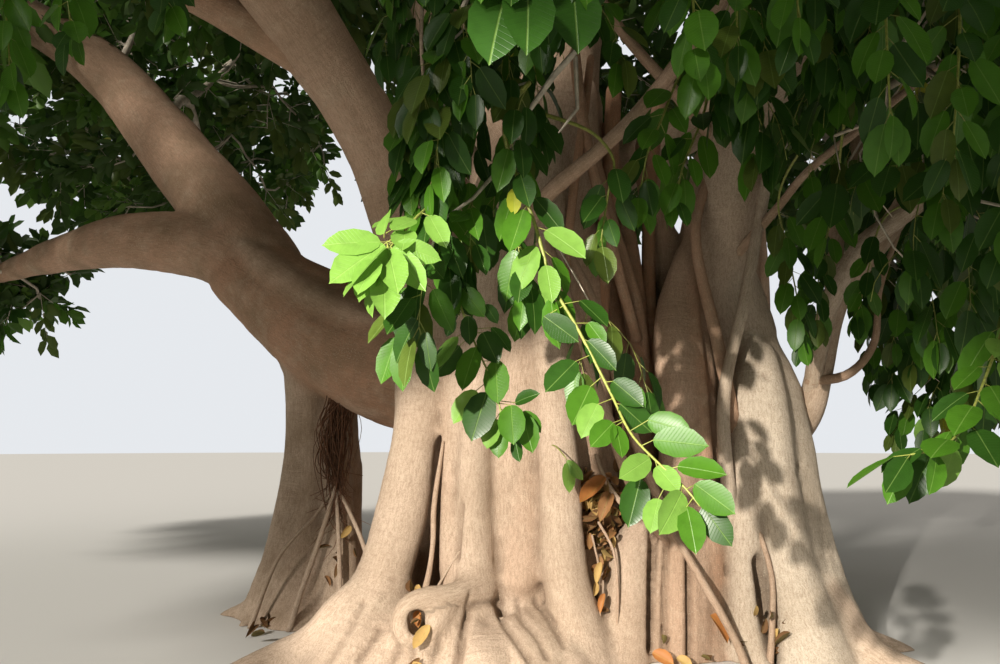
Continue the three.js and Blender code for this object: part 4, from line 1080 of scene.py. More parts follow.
def outlet(tree, kind, socket=0, inputs=(), **settings):
    """One output of a new shader node."""
    return add(tree, kind, inputs, **settings).outputs[socket]


def blend(tree, share, first, second):
    """Two colours mixed by a share."""
    return outlet(tree, "ShaderNodeMix", 2, {0: share, 6: first, 7: second}, data_type="RGBA")


def calc(tree, operation, *values):
    """A sum of one or two numbers."""
    return outlet(tree, "ShaderNodeMath", 0, dict(enumerate(values)), operation=operation)


def times(tree, one, other):
    return calc(tree, "MULTIPLY", one, other)


def spread(tree, value, low, high, start=0.0, end=1.0):
    """A value's range from low to high, stretched to run from start to end."""
    inputs = {"Value": value, "From Min": low, "From Max": high, "To Min": start, "To Max": end}
    return outlet(tree, "ShaderNodeMapRange", 0, inputs, clamp=True)


def noise(tree, place, detail, roughness=0.5, scale=1.0, bend=0.0):
    """A noise's value at each place."""
    inputs = {"Vector": place, "Scale": scale, "Detail": detail, "Roughness": roughness, "Distortion": bend}
    return outlet(tree, "ShaderNodeTexNoise", 0, inputs)


def object_place(tree):
    return outlet(tree, "ShaderNodeTexCoord", "Object")


def attribute(tree, name, socket="Fac"):
    return outlet(tree, "ShaderNodeAttribute", socket, attribute_name=name)


def scaled(tree, grain, across, along):
    """A grain vector scaled across the limb and along it."""
    size = add(tree, "ShaderNodeCombineXYZ", {0: across, 1: across, 2: along})
    return outlet(tree, "ShaderNodeVectorMath", 0, {0: grain, 1: size.outputs[0]}, operation="MULTIPLY")


def bumped(tree, shader, height, strength, distance):
    """Lets a height bend the light on a shader's surface."""
    bump = add(tree, "ShaderNodeBump", {"Strength": strength, "Distance": distance, "Height": height})
    tree.links.new(bump.outputs[0], shader.inputs["Normal"])


def new_group(name, vector, inputs, outputs):
    """A node group that takes a vector and numbers, and gives out numbers: the group and its two ends."""
    group = bpy.data.node_groups.new(name, "ShaderNodeTree")
    group.interface.new_socket(vector, in_out="INPUT", socket_type="NodeSocketVector")
    for label, default in inputs.items():
        socket = group.interface.new_socket(label, in_out="INPUT", socket_type="NodeSocketFloat")
        socket.default_value = default
    for label in outputs:
        group.interface.new_socket(label, in_out="OUTPUT", socket_type="NodeSocketFloat")
    return group, group.nodes.new("NodeGroupInput").outputs, group.nodes.new("NodeGroupOutput").inputs


def bark_fissures():
    """Fine cracks that run along the limb."""
    group, inside, outside = new_group(
        "bark_fissures", "Grain", {"Fineness": 70.0, "Length": 5.0}, ["Height", "Crack"])
    along = calc(group, "DIVIDE", inside["Fineness"], inside["Length"])
    long_cracks = scaled(group, inside["Grain"], inside["Fineness"], along)
    coarse = noise(group, long_cracks, 6.0, 0.7, bend=0.25)
    short_cracks = scaled(
        group, inside["Grain"], times(group, inside["Fineness"], 3.0), times(group, along, 6.0))
    fine = noise(group, short_cracks, 4.0, 0.75)
    height = calc(group, "ADD", times(group, coarse, 0.5), times(group, fine, 0.5))
    group.links.new(height, outside["Height"])
    group.links.new(spread(group, height, 0.56, 0.4), outside["Crack"])
    return group


def bark_pores():
    """Small raised speckles, wider than they are high."""
    group, inside, outside = new_group("bark_pores", "Grain", {"Density": 42.0}, ["Pore"])
    place = scaled(group, inside["Grain"], inside["Density"], times(group, inside["Density"], 1.7))
    dots = add(group, "ShaderNodeTexVoronoi", {"Vector": place, "Scale": 1.0}).outputs
    shade = outlet(group, "ShaderNodeSeparateColor", 0, {0: dots["Color"]})
    round_dots = spread(group, dots["Distance"], 0.36, 0.18)
    group.links.new(times(group, round_dots, spread(group, shade, 0.55, 0.65)), outside["Pore"])
    return group


def bark_folds():
    """Wrinkles that run round the limb, gathered in places."""
    group, inside, outside = new_group("bark_folds", "Grain", {"Closeness": 34.0}, ["Height", "Fold"])
    rings = noise(group, scaled(group, inside["Grain"], 2.6, inside["Closeness"]), 3.0, 0.55, bend=0.3)
    gathered = spread(group, noise(group, scaled(group, inside["Grain"], 1.1, 0.9), 2.0), 0.42, 0.66)
    group.links.new(times(group, rings, gathered), outside["Height"])
    group.links.new(times(group, spread(group, rings, 0.46, 0.34), gathered), outside["Fold"])
    return group


def bark_weather():
    """Broad stains, which on the boughs also serve as painted shade, and bleached patches."""
    group, inside, outside = new_group("bark_weather", "Place", {"Size": 1.6}, ["Stain", "Bleach"])
    broad = noise(group, inside["Place"], 5.0, 0.6, inside["Size"])
    patches = noise(group, inside["Place"], 6.0, 0.68, times(group, inside["Size"], 2.3))
    group.links.new(spread(group, broad, 0.42, 0.68), outside["Stain"])
    group.links.new(spread(group, patches, 0.5, 0.7), outside["Bleach"])
    return group


def leaf_veins():
    """A leaf's midrib, its side veins and a mottle, from its place across and along the leaf."""
    group, inside, outside = new_group("leaf_veins", "Leaf Place", {}, ["Midrib", "Mottle", "Height"])
    axes = add(group, "ShaderNodeSeparateXYZ", {0: inside["Leaf Place"]}).outputs
    off = calc(group, "ABSOLUTE", calc(group, "SUBTRACT", axes[0], 0.5))
    midrib = spread(group, off, 0.024, 0.008)
    slanted = calc(group, "SUBTRACT", times(group, axes[1], 14.0), times(group, off, 5.0))
    side = spread(group, calc(group, "SINE", times(group, slanted, ANY_TURN)), 0.82, 1.0)
    mottle = noise(group, object_place(group), 3.0, scale=26.0)
    group.links.new(midrib, outside["Midrib"])
    group.links.new(spread(group, mottle, 0.45, 0.7), outside["Mottle"])
    sunk = calc(group, "ADD", times(group, midrib, -1.0), times(group, side, -0.3))
    group.links.new(sunk, outside["Height"])
    return group


def placed_group(tree, make, vector, **values):
    """The outputs of a node group, which is made the first time that it is asked for."""
    group = bpy.data.node_groups.get(make.__name__) or make()
    return add(tree, "ShaderNodeGroup", {0: vector, **values}, node_tree=group).outputs


def rgba(colour, brightness=1):
    return (*(value * brightness for value in colour), 1.0)


def new_material(name):
    """A material with its tree, its principled shader and its output."""
    material = bpy.data.materials.new(name)
    material.use_nodes = True
    tree = material.node_tree
    return material, tree, tree.nodes["Principled BSDF"], tree.nodes["Material Output"]


# For each bark: the fineness of its cracks, the density of its pores and how stained it is. The boughs'
# heavier staining is partly painted shade.
BARKS = {"bark_stem": (70.0, 60.0, 0.35), "bark_bough": (60.0, 55.0, 0.8), "bark_root": (80.0, 70.0, 0.45)}


def bark(name):
    """Fig bark: pale skin with fine upright cracks, speckled pores, folds and stains, and painted shade in
    its hollows and cracks and, on the boughs, in heavier stains.
    """
    if name in bpy.data.materials:
        return bpy.data.materials[name]
    fineness, density, stain_and_shade = BARKS[name]
    colours = bpy.context.scene.banyan_colours
    material, tree, skin, _ = new_material(name)
    grain = attribute(tree, "grain", "Vector")
    cracks = placed_group(tree, bark_fissures, grain, Fineness=fineness)
    pores = placed_group(tree, bark_pores, grain, Density=density)
    folds = placed_group(tree, bark_folds, grain)
    weather = placed_group(tree, bark_weather, object_place(tree))
    colour = rgba(colours.bark_pale)
    for share, tint in (
        (attribute(tree, "red"), rgba(colours.bark_red)),
        (attribute(tree, "grey"), rgba(colours.bark_grey)),
        # real stains, laid on more heavily on the boughs as painted shade
        (times(tree, weather["Stain"], stain_and_shade), rgba(colours.bark_stain)),
        (times(tree, weather["Bleach"], 0.3), rgba(colours.pore)),
        (times(tree, cracks["Crack"], 0.62), rgba(colours.bark_deep)),
        (times(tree, folds["Fold"], 0.25), rgba(colours.bark_deep)),
        # painted shade in the hollows and cracks, in a darker copy of the deep bark colour
        (times(tree, attribute(tree, "crease"), 0.7), rgba(colours.bark_deep, 0.6)),
        (times(tree, pores["Pore"], 0.4), rgba(colours.pore)),
    ):
        colour = blend(tree, share, colour, tint)
    tree.links.new(colour, skin.inputs["Base Color"])
    tree.links.new(spread(tree, cracks["Height"], 0.3, 0.7, 0.92, 0.7), skin.inputs["Roughness"])
    height = calc(tree, "ADD", cracks["Height"], times(tree, folds["Height"], 0.8))
    bumped(tree, skin, calc(tree, "ADD", height, times(tree, pores["Pore"], 0.15)), 1.0, 0.014)
    skin.inputs["Specular IOR Level"].default_value = 0.25
    return material


# For each thin skin: its colour, how bright, its roughness and the fineness of its mottle.
THIN_SKINS = {
    "shoot_skin": ("shoot", 1, 0.5, 60.0),
    "branch_skin": ("bark_grey", 1, 0.75, 14.0),
    "twig_skin": ("bark_grey", 1, 0.7, 30.0),
    "root_hair": ("bark_red", 0.55, 0.85, 30.0),
}


def thin_skin(name):
    """Skin of thin branches and shoots, mottled by a noise."""
    if name in bpy.data.materials:
        return bpy.data.materials[name]
    kind, bright, roughness, fineness = THIN_SKINS[name]
    colour = [value * bright for value in getattr(bpy.context.scene.banyan_colours, kind)]
    material, tree, skin, _ = new_material(name)
    mottle = noise(tree, object_place(tree), 4.0, 0.65, fineness)
    mottled = blend(tree, spread(tree, mottle, 0.35, 0.65), rgba(colour, 0.55), rgba(colour))
    tree.links.new(mottled, skin.inputs["Base Color"])
    skin.inputs["Roughness"].default_value = roughness
    return material


def leaf_material(name, colour, roughness, glow, veined=True):
    """A glossy leaf, paler and duller underneath, that lets some light through."""
    material, tree, blade, output = new_material(name)
    under = [value * 0.7 + part for value, part in zip(colour, (0.045, 0.07, 0.02))]
    seen = blend(tree, outlet(tree, "ShaderNodeNewGeometry", "Backfacing"), rgba(colour), rgba(under))
    if veined:
        veins = placed_group(tree, leaf_veins, outlet(tree, "ShaderNodeUVMap", uv_map="leaf"))
        rib = [value * 0.5 + part for value, part in zip(colour, (0.13, 0.2, 0.05))]
        seen = blend(tree, times(tree, veins["Midrib"], 0.65), seen, rgba(rib))
        seen = blend(tree, times(tree, veins["Mottle"], 0.35), seen, rgba(colour, 0.55))
        bumped(tree, blade, veins["Height"], 0.35, 0.004)
    tree.links.new(seen, blade.inputs["Base Color"])
    blade.inputs["Roughness"].default_value = roughness
    blade.inputs["Specular IOR Level"].default_value = 0.25
    light = rgba([min(1, value * 2.2 + 0.02) for value in colour])
    through = add(tree, "ShaderNodeBsdfTranslucent", {"Color": light})
    both = add(tree, "ShaderNodeMixShader", {0: glow, 1: blade.outputs[0], 2: through.outputs[0]})
    tree.links.new(both.outputs[0], output.inputs["Surface"])
    return material


def leaf_materials(veined):
    """The leaf materials in the order of their tones."""
    ending, roughness = ("_near", 0.35) if veined else ("", 0.45)
    made = []
    for tone in LEAF_TONES:
        colour = tuple(getattr(bpy.context.scene.banyan_colours, tone))
        known = bpy.data.materials.get(tone + ending)
        made.append(known or leaf_material(tone + ending, colour, roughness, 0.22, veined))
    return made


# A leaf lies along its first axis from 0 to 1. Each row of its outline has a place and a half width.
FINE_ROWS = ((0.05, 0.1), (0.2, 0.2), (0.45, 0.25), (0.7, 0.22), (0.88, 0.115), (0.96, 0.025))
PLAIN_ROWS = ((0.06, 0.12), (0.25, 0.225), (0.52, 0.255), (0.77, 0.19), (0.94, 0.05))


def near_leaf(rows):
    """A leaf of two curved halves: corners, triangles, place across and along, fold and sag."""
    corners = [(0, 0)]
    for place, half in rows:
        corners += [(place, -half), (place, 0), (place, half)]
    corners.append((1, 0))
    last = len(corners) - 1
    triangles = [(0, 1, 2), (0, 2, 3)]
    for row in range(len(rows) - 1):
        a = 1 + 3 * row
        for side in (0, 1):
            triangles += [(a + side, a + side + 3, a + side + 4), (a + side, a + side + 4, a + side + 1)]
    triangles += [(last - 3, last, last - 2), (last - 2, last, last - 1)]
    return finished_leaf(corners, triangles)


def crown_leaf():
    """A leaf of four triangles, folded along its middle."""
    corners = [(0, 0), (0.27, -0.22), (0.7, -0.21), (1, 0), (0.7, 0.21), (0.27, 0.22)]
    return finished_leaf(corners, [(0, 1, 2), (0, 2, 3), (0, 3, 4), (0, 4, 5)])


def finished_leaf(corners, triangles):
    corners = np.array(corners, float)
    fold = np.abs(corners[:, 1])
    sag = corners[:, 0] ** 2
    places = np.column_stack([0.5 + corners[:, 1] * 2, corners[:, 0]])
    return corners, np.array(triangles), places, fold, sag


def lay_leaves(shape, bases, axes, faces, lengths, widths, folds, sags):
    """Copies of a leaf, each along its axis and facing its own way: corners, triangles and leaf places."""
    corners, triangles, places, fold, sag = shape
    sides = np.cross(faces, axes)
    along = corners[:, 0][None, :, None] * axes[:, None]
    across = corners[:, 1][None, :, None] * sides[:, None] * widths[:, None, None]
    lift = (fold[None] * folds[:, None] - sag[None] * sags[:, None])[..., None] * faces[:, None]
    laid = bases[:, None] + (along + across + lift) * lengths[:, None, None]
    count, each = len(bases), len(corners)
    numbered = triangles[None] + np.arange(count)[:, None, None] * each
    return laid.reshape(-1, 3), numbered.reshape(-1, 3), np.tile(places, (count, 1))


def lay_stalks(starts, ends, thick, thin):
    """Three-sided tapering stalks between two places each."""
    ahead = unit(ends - starts)
    side, other = sides_of(ahead)
    turn = np.arange(3) * ANY_TURN / 3
    ring = np.cos(turn)[None, :, None] * side[:, None] + np.sin(turn)[None, :, None] * other[:, None]
    corners = np.concatenate([starts[:, None] + ring * thick, ends[:, None] + ring * thin], axis=1)
    walls = []
    for i in range(3):
        j = (i + 1) % 3
        walls += [(i, j, j + 3), (i, j + 3, i + 3)]
    numbered = np.array(walls)[None] + np.arange(len(starts))[:, None, None] * 6
    return corners.reshape(-1, 3), numbered.reshape(-1, 3)


def room_of(name):
    """A mass of leaves as a shape that tells inside from outside, with its corners' places."""
    mesh = frame["nodes"][name].data
    corners = [vertex.co.copy() for vertex in mesh.vertices]
    room = BVHTree.FromPolygons(corners, [tuple(face.vertices) for face in mesh.polygons])
    corners = np.array([tuple(corner) for corner in corners])
    return room, corners.min(axis=0), corners.max(axis=0)


def places_in(room, low, high, gap, inset, rng):
    """Scattered places inside a mass, no two nearer than the gap, none too near its skin."""
    chosen = []
    tries = int(np.prod(high - low) / gap**3 * 5)
    for place in rng.uniform(low, high, (tries, 3)):
        near, facing, _, distance = room.find_nearest(Vector(place))
        if distance < inset or (Vector(place) - near).dot(facing) > 0:
            continue
        if not chosen or np.min(np.sum((np.array(chosen) - place) ** 2, axis=1)) > gap**2:
            chosen.append(place)
    return np.array(chosen).reshape(-1, 3)


def grow(starts, start_lengths, targets):
    """Joins each target to the wood where the way back to the trunk is short. Parents and order."""
    known = len(starts)
    places = np.vstack([starts, targets])
    way = np.concatenate([start_lengths, np.zeros(len(targets))])
    reach = np.linalg.norm(targets[:, None] - starts[None], axis=2) + THRIFT * way[None, :known]
    parent = np.argmin(reach, axis=1)
    best = np.min(reach, axis=1)
    order = []
    for _ in range(len(targets)):
        k = int(np.argmin(best))
        order.append(k + known)
        best[k] = np.inf
        way[k + known] = way[parent[k]] + np.linalg.norm(targets[k] - places[parent[k]])
        cost = np.linalg.norm(targets - targets[k], axis=1) + THRIFT * way[k + known]
        better = (cost < best) & np.isfinite(best)
        best[better] = cost[better]
        parent[better] = k + known
    return places, np.concatenate([np.full(known, -1), parent]), order


def bearing_wood():
    """Places along the outer parts of the boughs, with how far each is from the trunk, and its radius."""
    rows = []
    for name, strand in {**TRUNK_STEMS, **LEFT_LIMBS, **BOUGHS}.items():
        if not name.startswith("bough"):
            continue
        line, along = line_through(strand.points, 0.3)
        share = along / along[-1]
        radii = np.interp(share, np.linspace(0, 1, len(strand.radii)), strand.radii)
        bearing = share > 1 - BEARING_SHARE.get(name, 0.45)
        rows.append(np.column_stack([line, along, radii])[bearing])
    for branch in BRANCHES[:2] + BRANCHES[4:5]:
        line, along = line_through(branch.points, 0.3)
        rows.append(np.column_stack([line, along, np.full(len(line), branch.radii[-1])])[len(line) // 2:])
    rows = np.vstack(rows)
    return rows[:, :3], rows[:, 3], rows[:, 4]


@dataclass
class Growth:
    """The grown branches: each end's place, parent and mass, the order of growth and its sprays."""

    places: np.ndarray
    parents: np.ndarray
    order: list
    mass: list
    known: int
    thickness: np.ndarray
    sprays: np.ndarray


# What has been grown, so that later steps find it.
GROWN = {}


def grown_crown():
    """Branches that grow on from the boughs through every mass of leaves, by a seeded rule."""
    if "growth" in GROWN:
        return GROWN["growth"]
    crown = bpy.context.scene.banyan_crown
    rng = np.random.default_rng(crown.seed)
    starts, lengths, thickness = bearing_wood()
    targets, mass = [], []
    rooms = {name: room_of(name) for name in CROWN_MASSES}
    for name, (room, low, high) in rooms.items():
        if name in CURTAIN_SPRAYS:
            gap = crown.curtain_gap * (1.25 if name == "low_right" else 1)
            inset = CURTAIN_INSET
        else:
            gap = crown.branch_gap * (0.85 if np.min(high - low) < SMALL_MASS else 1)
            inset = INSET
        targets.append(places_in(room, low, high, gap, inset, rng))
        mass += [name] * len(targets[-1])
    targets = np.vstack(targets)
    places, parents, order = grow(starts, lengths, targets)
    shown = shell_share(targets, rooms, crown.shell)
    leafy = np.where(shown > 0, 3.2 + 4.4 * shown, 0.9)
    for name, sprays in CURTAIN_SPRAYS.items():
        leafy[np.array(mass) == name] = sprays
    whole = np.floor(leafy + rng.random(len(leafy))).astype(int)
    sprays = np.concatenate([np.zeros(len(starts), int), whole])
    mass = ["wood"] * len(starts) + mass
    GROWN["growth"] = Growth(places, parents, order, mass, len(starts), thickness, sprays)
    return GROWN["growth"]


def shell_share(places, rooms, shell):
    """How near each place is to the crown's outside, above, beside or below it: 1 at the skin, 0 deep in."""
    reach = 12
    share = np.zeros(len(places))
    outward = unit((places - CROWN_HEART) * [1, 1, 0.8])
    below, above = (np.tile(way, (len(places), 1)) for way in (-UP, UP))
    for ways in (outward, below, above, unit(outward * [1, 1, 0])):
        farthest = np.zeros(len(places))
        for room, low, high in rooms.values():
            for i, (place, way) in enumerate(zip(places, ways)):
                if np.any(place + way * reach < low - reach) or not hits_box(place, way, low, high):
                    continue
                start = Vector(place)
                walked = 0.0
                for _ in range(4):
                    distance = room.ray_cast(start, Vector(way), reach - walked)[3]
                    if distance is None:
                        break
                    walked += distance + 1e-3
                    farthest[i] = max(farthest[i], walked)
                    start = Vector(place + way * walked)
        share = np.maximum(share, np.clip(1 - farthest / shell, 0, 1))
    return share


def hits_box(place, way, low, high):
    """True if the ray meets the box."""
    with np.errstate(divide="ignore", invalid="ignore"):
        one, other = (low - place) / way, (high - place) / way
    enter, leave = np.nanmax(np.minimum(one, other)), np.nanmin(np.maximum(one, other))
    return leave >= max(enter, 0)


def branch_strands(growth):
    """The grown branches as strands, each from its fork to its last end, thick by what it carries."""
    load = growth.sprays.astype(float) * 0.7 + 0.4
    for node in reversed(growth.order):
        load[growth.parents[node]] += load[node]
    radius = np.clip(0.0052 * load**0.44, 0.004, 0.2)
    radius[:growth.known] = growth.thickness
    children = {}
    for node in growth.order:
        children.setdefault(growth.parents[node], []).append(node)
    rng = np.random.default_rng(11)
    strands = []
    forks = [(start, child) for start in range(growth.known) for child in children.get(start, [])]
    while forks:
        parent, node = forks.pop()
        chain = [parent, node]
        while children.get(node):
            leader, *others = sorted(children[node], key=lambda child: -load[child])
            forks += [(node, other) for other in others]
            chain.append(leader)
            node = leader
        points = growth.places[chain]
        middles = (points[1:] + points[:-1]) / 2
        apart = np.linalg.norm(points[1:] - points[:-1], axis=1, keepdims=True)
        middles = middles + rng.normal(0, 0.07, middles.shape) * apart - UP * apart * 0.04
        bent = np.empty((len(points) + len(middles), 3))
        bent[0::2], bent[1::2] = points, middles
        radii = radius[chain].copy()
        radii[0] = min(radii[0], radii[1] * 1.25)
        radii[-1] *= 0.6
        strands.append(Strand(bent, list(np.minimum.accumulate(radii))))
    return strands


def thin_tubes(strands, spacing):
    """Branches as plain tubes, with fewer sides the thinner they are."""
    shapes = []
    for strand in strands:
        thick = max(strand.radii)
        sides = 7 if thick > 0.06 else 5 if thick > 0.025 else 4 if thick > 0.012 else 3
        shapes.append(tube_of(strand, spacing * (0.8 if thick > 0.03 else 1.0), sides, domed=False)[:2])
    return joined(shapes)


def crown_sprays(growth, picked, rng):
    """Twigs on the ends of branches outside the curtains: base, heading, length and tone of each. The tones
    hold painted light.
    """
    crown = bpy.context.scene.banyan_crown
    ends = np.repeat(picked, growth.sprays[picked])
    bases = growth.places[ends]
    back = growth.places[growth.parents[ends]]
    bases = bases + (back - bases) * (rng.random((len(ends), 1)) ** 2) * 0.6
    outward = unit((bases - CROWN_HEART) * [1, 1, 0.7])
    heading = unit(outward * 0.55 + unit(rng.normal(size=bases.shape)) * 0.85 + UP * 0.12)
    length = rng.uniform(0.4, 0.68, len(ends)) * crown.branch_gap / BRANCH_GAP
    # painted light: leaves high up and toward the crown's outside get brighter tones, those deep inside
    # darker and duller ones
    height = (bases[:, 2] - CAD_BOX[0][2]) / (CAD_BOX[1][2] - CAD_BOX[0][2])
    inner = np.linalg.norm((bases - CROWN_HEART) / [11, 10, 7], axis=1)
    light = np.clip(0.35 * height + 0.75 * inner - 0.25 + rng.normal(0, 0.16, len(ends)), 0, 1)
    chance = rng.random(len(ends))
    tone = np.where(chance < 0.15 + 0.3 * light, MID, DARK)
    tone = np.where((chance > 0.86) & (light > 0.45), BRIGHT, tone)
    tone = np.where((chance > 0.72) & (light < 0.5), OLIVE, tone)
    tone = np.where(chance > 0.992, YELLOW, tone)
    return bases, heading, length, tone, outward


def dressed(bases, heading, length, tone, outward, rng):
    """The leaves of the crown's sprays and the twigs that bear them."""
    crown = bpy.context.scene.banyan_crown
    count, each = len(bases), crown.leaves_on_spray
    side, other = sides_of(heading)
    share = np.linspace(0.22, 1.0, each)[None, :, None]
    turn = (rng.uniform(0, ANY_TURN, (count, 1)) + np.arange(each)[None] * GOLDEN_TURN)[..., None]
    radial = np.cos(turn) * side[:, None] + np.sin(turn) * other[:, None]
    droop = -UP * (0.1 * share**2) * length[:, None, None]
    spots = bases[:, None] + heading[:, None] * share * length[:, None, None] + droop
    axes = unit(radial * (1.15 - 0.75 * share) + heading[:, None] * (0.25 + 0.75 * share) - UP * 0.42
                + rng.normal(0, 0.16, radial.shape))
    wanted = UP * 0.9 + outward[:, None] * 0.7 + rng.normal(0, 0.42, radial.shape)
    faces = square_to(wanted, axes)
    spots, axes, faces = (array.reshape(-1, 3) for array in (spots, axes, faces))
    total = count * each
    lengths = crown.crown_leaf * rng.uniform(0.7, 1.12, total)
    shape = crown_leaf()
    leaves = lay_leaves(shape, spots + axes * 0.035, axes, faces, lengths, rng.uniform(0.92, 1.25, total),
                        rng.uniform(0.2, 0.55, total), rng.uniform(0.02, 0.2, total))
    finish = np.repeat(np.repeat(tone, each), len(shape[1]))
    tips = bases + heading * length[:, None] - UP * 0.1 * length[:, None]
    twigs = lay_stalks(bases, tips, 0.0075, 0.002)
    return leaves, finish, twigs


def leaves_along(shoot, bare, gap, rng, size, toward, hang):
    """Leaves set in turn along a shoot, each on a stalk: spots, stalk ends, axes, faces and lengths."""
    line, along = line_through(shoot, 0.01)
    ahead, right, front = frames_along(line, False)
    marks = np.arange(along[-1] * bare, along[-1], gap)
    index = np.searchsorted(along, marks).clip(0, len(line) - 1)
    index = np.concatenate([index, [len(line) - 1] * 2])
    turn = rng.uniform(0, 6.28) + np.arange(len(index)) * GOLDEN_TURN + rng.normal(0, 0.25, len(index))
    radial = np.cos(turn)[:, None] * right[index] + np.sin(turn)[:, None] * front[index]
    tip = (index / (len(line) - 1))[:, None] ** 3
    leaving = unit(radial * (1 - 0.5 * tip) + ahead[index] * (0.45 + 0.6 * tip) - UP * 0.1)
    stalk = rng.uniform(0.04, 0.075, (len(index), 1))
    spots = line[index]
    ends = spots + leaving * stalk
    drop = hang * rng.uniform(0.3, 1.15, (len(index), 1))
    axes = unit(leaving * 0.75 + ahead[index] * 0.2 - UP * drop + rng.normal(0, 0.14, spots.shape))
    faces = square_to(np.array(toward) + radial * 0.35 + rng.normal(0, 0.3, spots.shape), axes)
    lengths = size * rng.uniform(0.78, 1.12, len(index)) * (1 - 0.15 * tip[:, 0])
    return spots, ends, axes, faces, lengths


def leaves_from(start, tips, rng, toward):
    """Leaves that spread from one spot, each toward its own tip."""
    tips = np.array(tips)
    axes = unit(tips - start)
    spots = np.tile(np.array(start), (len(tips), 1)) + rng.normal(0, 0.012, tips.shape)
    ends = spots + axes * 0.035
    faces = square_to(np.array(toward) + rng.normal(0, 0.3, tips.shape), axes)
    return spots, ends, axes, faces, np.linalg.norm(tips - ends, axis=1)


def leaves_placed(shoot, rows, rng, toward):
    """Leaves with a given base and tip, each on a stalk from the shoot's nearest place a bit farther up."""
    line = line_through(shoot, 0.01)[0]
    bases, tips, tones = (np.array(column) for column in zip(*rows))
    nearest = np.argmin(np.linalg.norm(bases[:, None] - line[None], axis=2), axis=1)
    spots = line[np.maximum(nearest - 2, 0)]
    axes = unit(tips - bases)
    faces = square_to(np.array(toward) + rng.normal(0, 0.25, tips.shape), axes)
    return spots, bases, axes, faces, np.linalg.norm(tips - bases, axis=1), tones


def leaves_view_open(centres, lengths):
    """True for the leaves that don't stand between the eye and the wood that the photo shows."""
    seen = centres - EYE
    open_view = np.ones(len(centres), bool)
    for limb, points, margin in SHOWN_WOOD:
        line = line_through(limb.points[:points], 0.06)[0] - EYE
        far = np.linalg.norm(line, axis=1)
        along = seen @ (line / far[:, None]).T
        off = np.sqrt(np.maximum(np.sum(seen**2, axis=1)[:, None] - along**2, 0))
        reach = (max(limb.radii) + margin) * along / far + 0.3 * lengths[:, None]
        open_view &= ~((along < far) & (off < reach)).any(axis=1)
    return open_view


def near_foliage(name, shoots, rows, replaced, stars=(), placed=()):
    """Fine leaves on shoots, with their stalks: one piece. Each shoot has its habits and tones."""
    rng = np.random.default_rng(23)
    shape = near_leaf(rows)
    parts = []
    for start, tips, toward, tones in stars:
        made = leaves_from(start, tips, rng, toward)
        parts.append((*made, rng.choice(tones, len(tips))))
    for shoot, bare, gap, size, toward, tones, hang in shoots:
        spots, ends, axes, faces, lengths = leaves_along(shoot, bare, gap, rng, size, toward, hang)
        parts.append((spots, ends, axes, faces, lengths, rng.choice(tones, len(spots))))
    for shoot, leaves, toward in placed:
        parts.append(leaves_placed(shoot, leaves, rng, toward))
    spots, ends, axes, faces, lengths, tone = (np.concatenate(column) for column in zip(*parts))
    if not stars:
        kept = leaves_view_open(ends + axes * lengths[:, None] * 0.5, lengths)
        spots, ends, axes = spots[kept], ends[kept], axes[kept]
        faces, lengths, tone = faces[kept], lengths[kept], tone[kept]
    total = len(spots)
    broad = rng.uniform(0.92, 1.12, total)
    broad[total - sum(len(leaves) for _, leaves, _ in placed):] *= 1.2
    corners, triangles, places = lay_leaves(
        shape, ends, axes, faces, lengths, broad, rng.uniform(0.12, 0.4, total), rng.uniform(0.0, 0.2, total))
    stalk_corners, stalk_triangles = lay_stalks(spots, ends + axes * 0.004, 0.0028, 0.0022)
    finish = np.concatenate([np.repeat(tone, len(shape[1])), np.full(len(stalk_triangles), len(LEAF_TONES))])
    corners, triangles, places = joined([
        (corners, triangles, places),
        (stalk_corners, stalk_triangles, np.full((len(stalk_corners), 2), 0.25))])
    mesh = mesh_from(name, corners, triangles, finish, places)
    return new_piece(mesh, [*leaf_materials(True), thin_skin("shoot_skin")], replaced)


def hung_from(growth, shoot):
    """The shoot's line, with its stem added that comes down from the nearest branch above."""
    top = np.array(shoot[0])
    ends = growth.places[growth.known:]
    above = ends[ends[:, 2] > top[2] + 0.25]
    anchor = above[np.argmin(np.linalg.norm(above - top, axis=1))]
    bend = (anchor + top) / 2 + (top - anchor) * [0.25, 0.25, 0]
    return [tuple(anchor), tuple(bend), *shoot]


def curtain_shoots(growth, name, rng):
    """The shoots that hang in a curtain, one or more from each end of its branches."""
    crown = bpy.context.scene.banyan_crown
    _, low, high = room_of(name)
    heart = (low + high) / 2
    shoots = []
    for node in [i for i, mass in enumerate(growth.mass) if mass == name]:
        base = growth.places[node]
        outward = unit((base - heart) * [1, 1, 0])
        for _ in range(growth.sprays[node]):
            lean = outward * 0.25 + rng.normal(0, 0.22, 3) * [1, 1, 0]
            length = rng.uniform(0.26, 0.42)
            tip = base + (lean - UP) * length
            middle = (base + tip) / 2 + lean * length * 0.25
            toward = outward * 0.45 + np.array([-0.05, -0.75, 0.3])
            tones = [DARK] * 8 + [MID] * 4 + [OLIVE] * 2 + ([BRIGHT] if rng.random() < 0.15 else [DARK])
            if rng.random() < 0.012:
                tones = [YELLOW]
            size = crown.near_leaf * (1.0 if name == "curtain_centre" else 1.18)
            shoots.append(([base, middle, tip], 0.12, 0.064, size, toward, tones, 0.95))
    return shoots


class BANYAN_OT_trunk(bpy.types.Operator):
    """Grows the front stems and their ribs into one trunk, with the near bough on the left"""

    bl_idname = "banyan.trunk"
    bl_label = "Trunk Cluster"

    def execute(self, context):
        wood = context.scene.banyan_wood
        strands = [*TRUNK_STEMS.values(), *TRUNK_RIBS, *ground_roots(GROUND_ROOTS)]
        mesh = fused_wood("trunk_cluster", strands, wood.trunk_grain, wood.relief, 215000)
        new_piece(mesh, [bark("bark_stem")], list(TRUNK_STEMS))
        return {"FINISHED"}


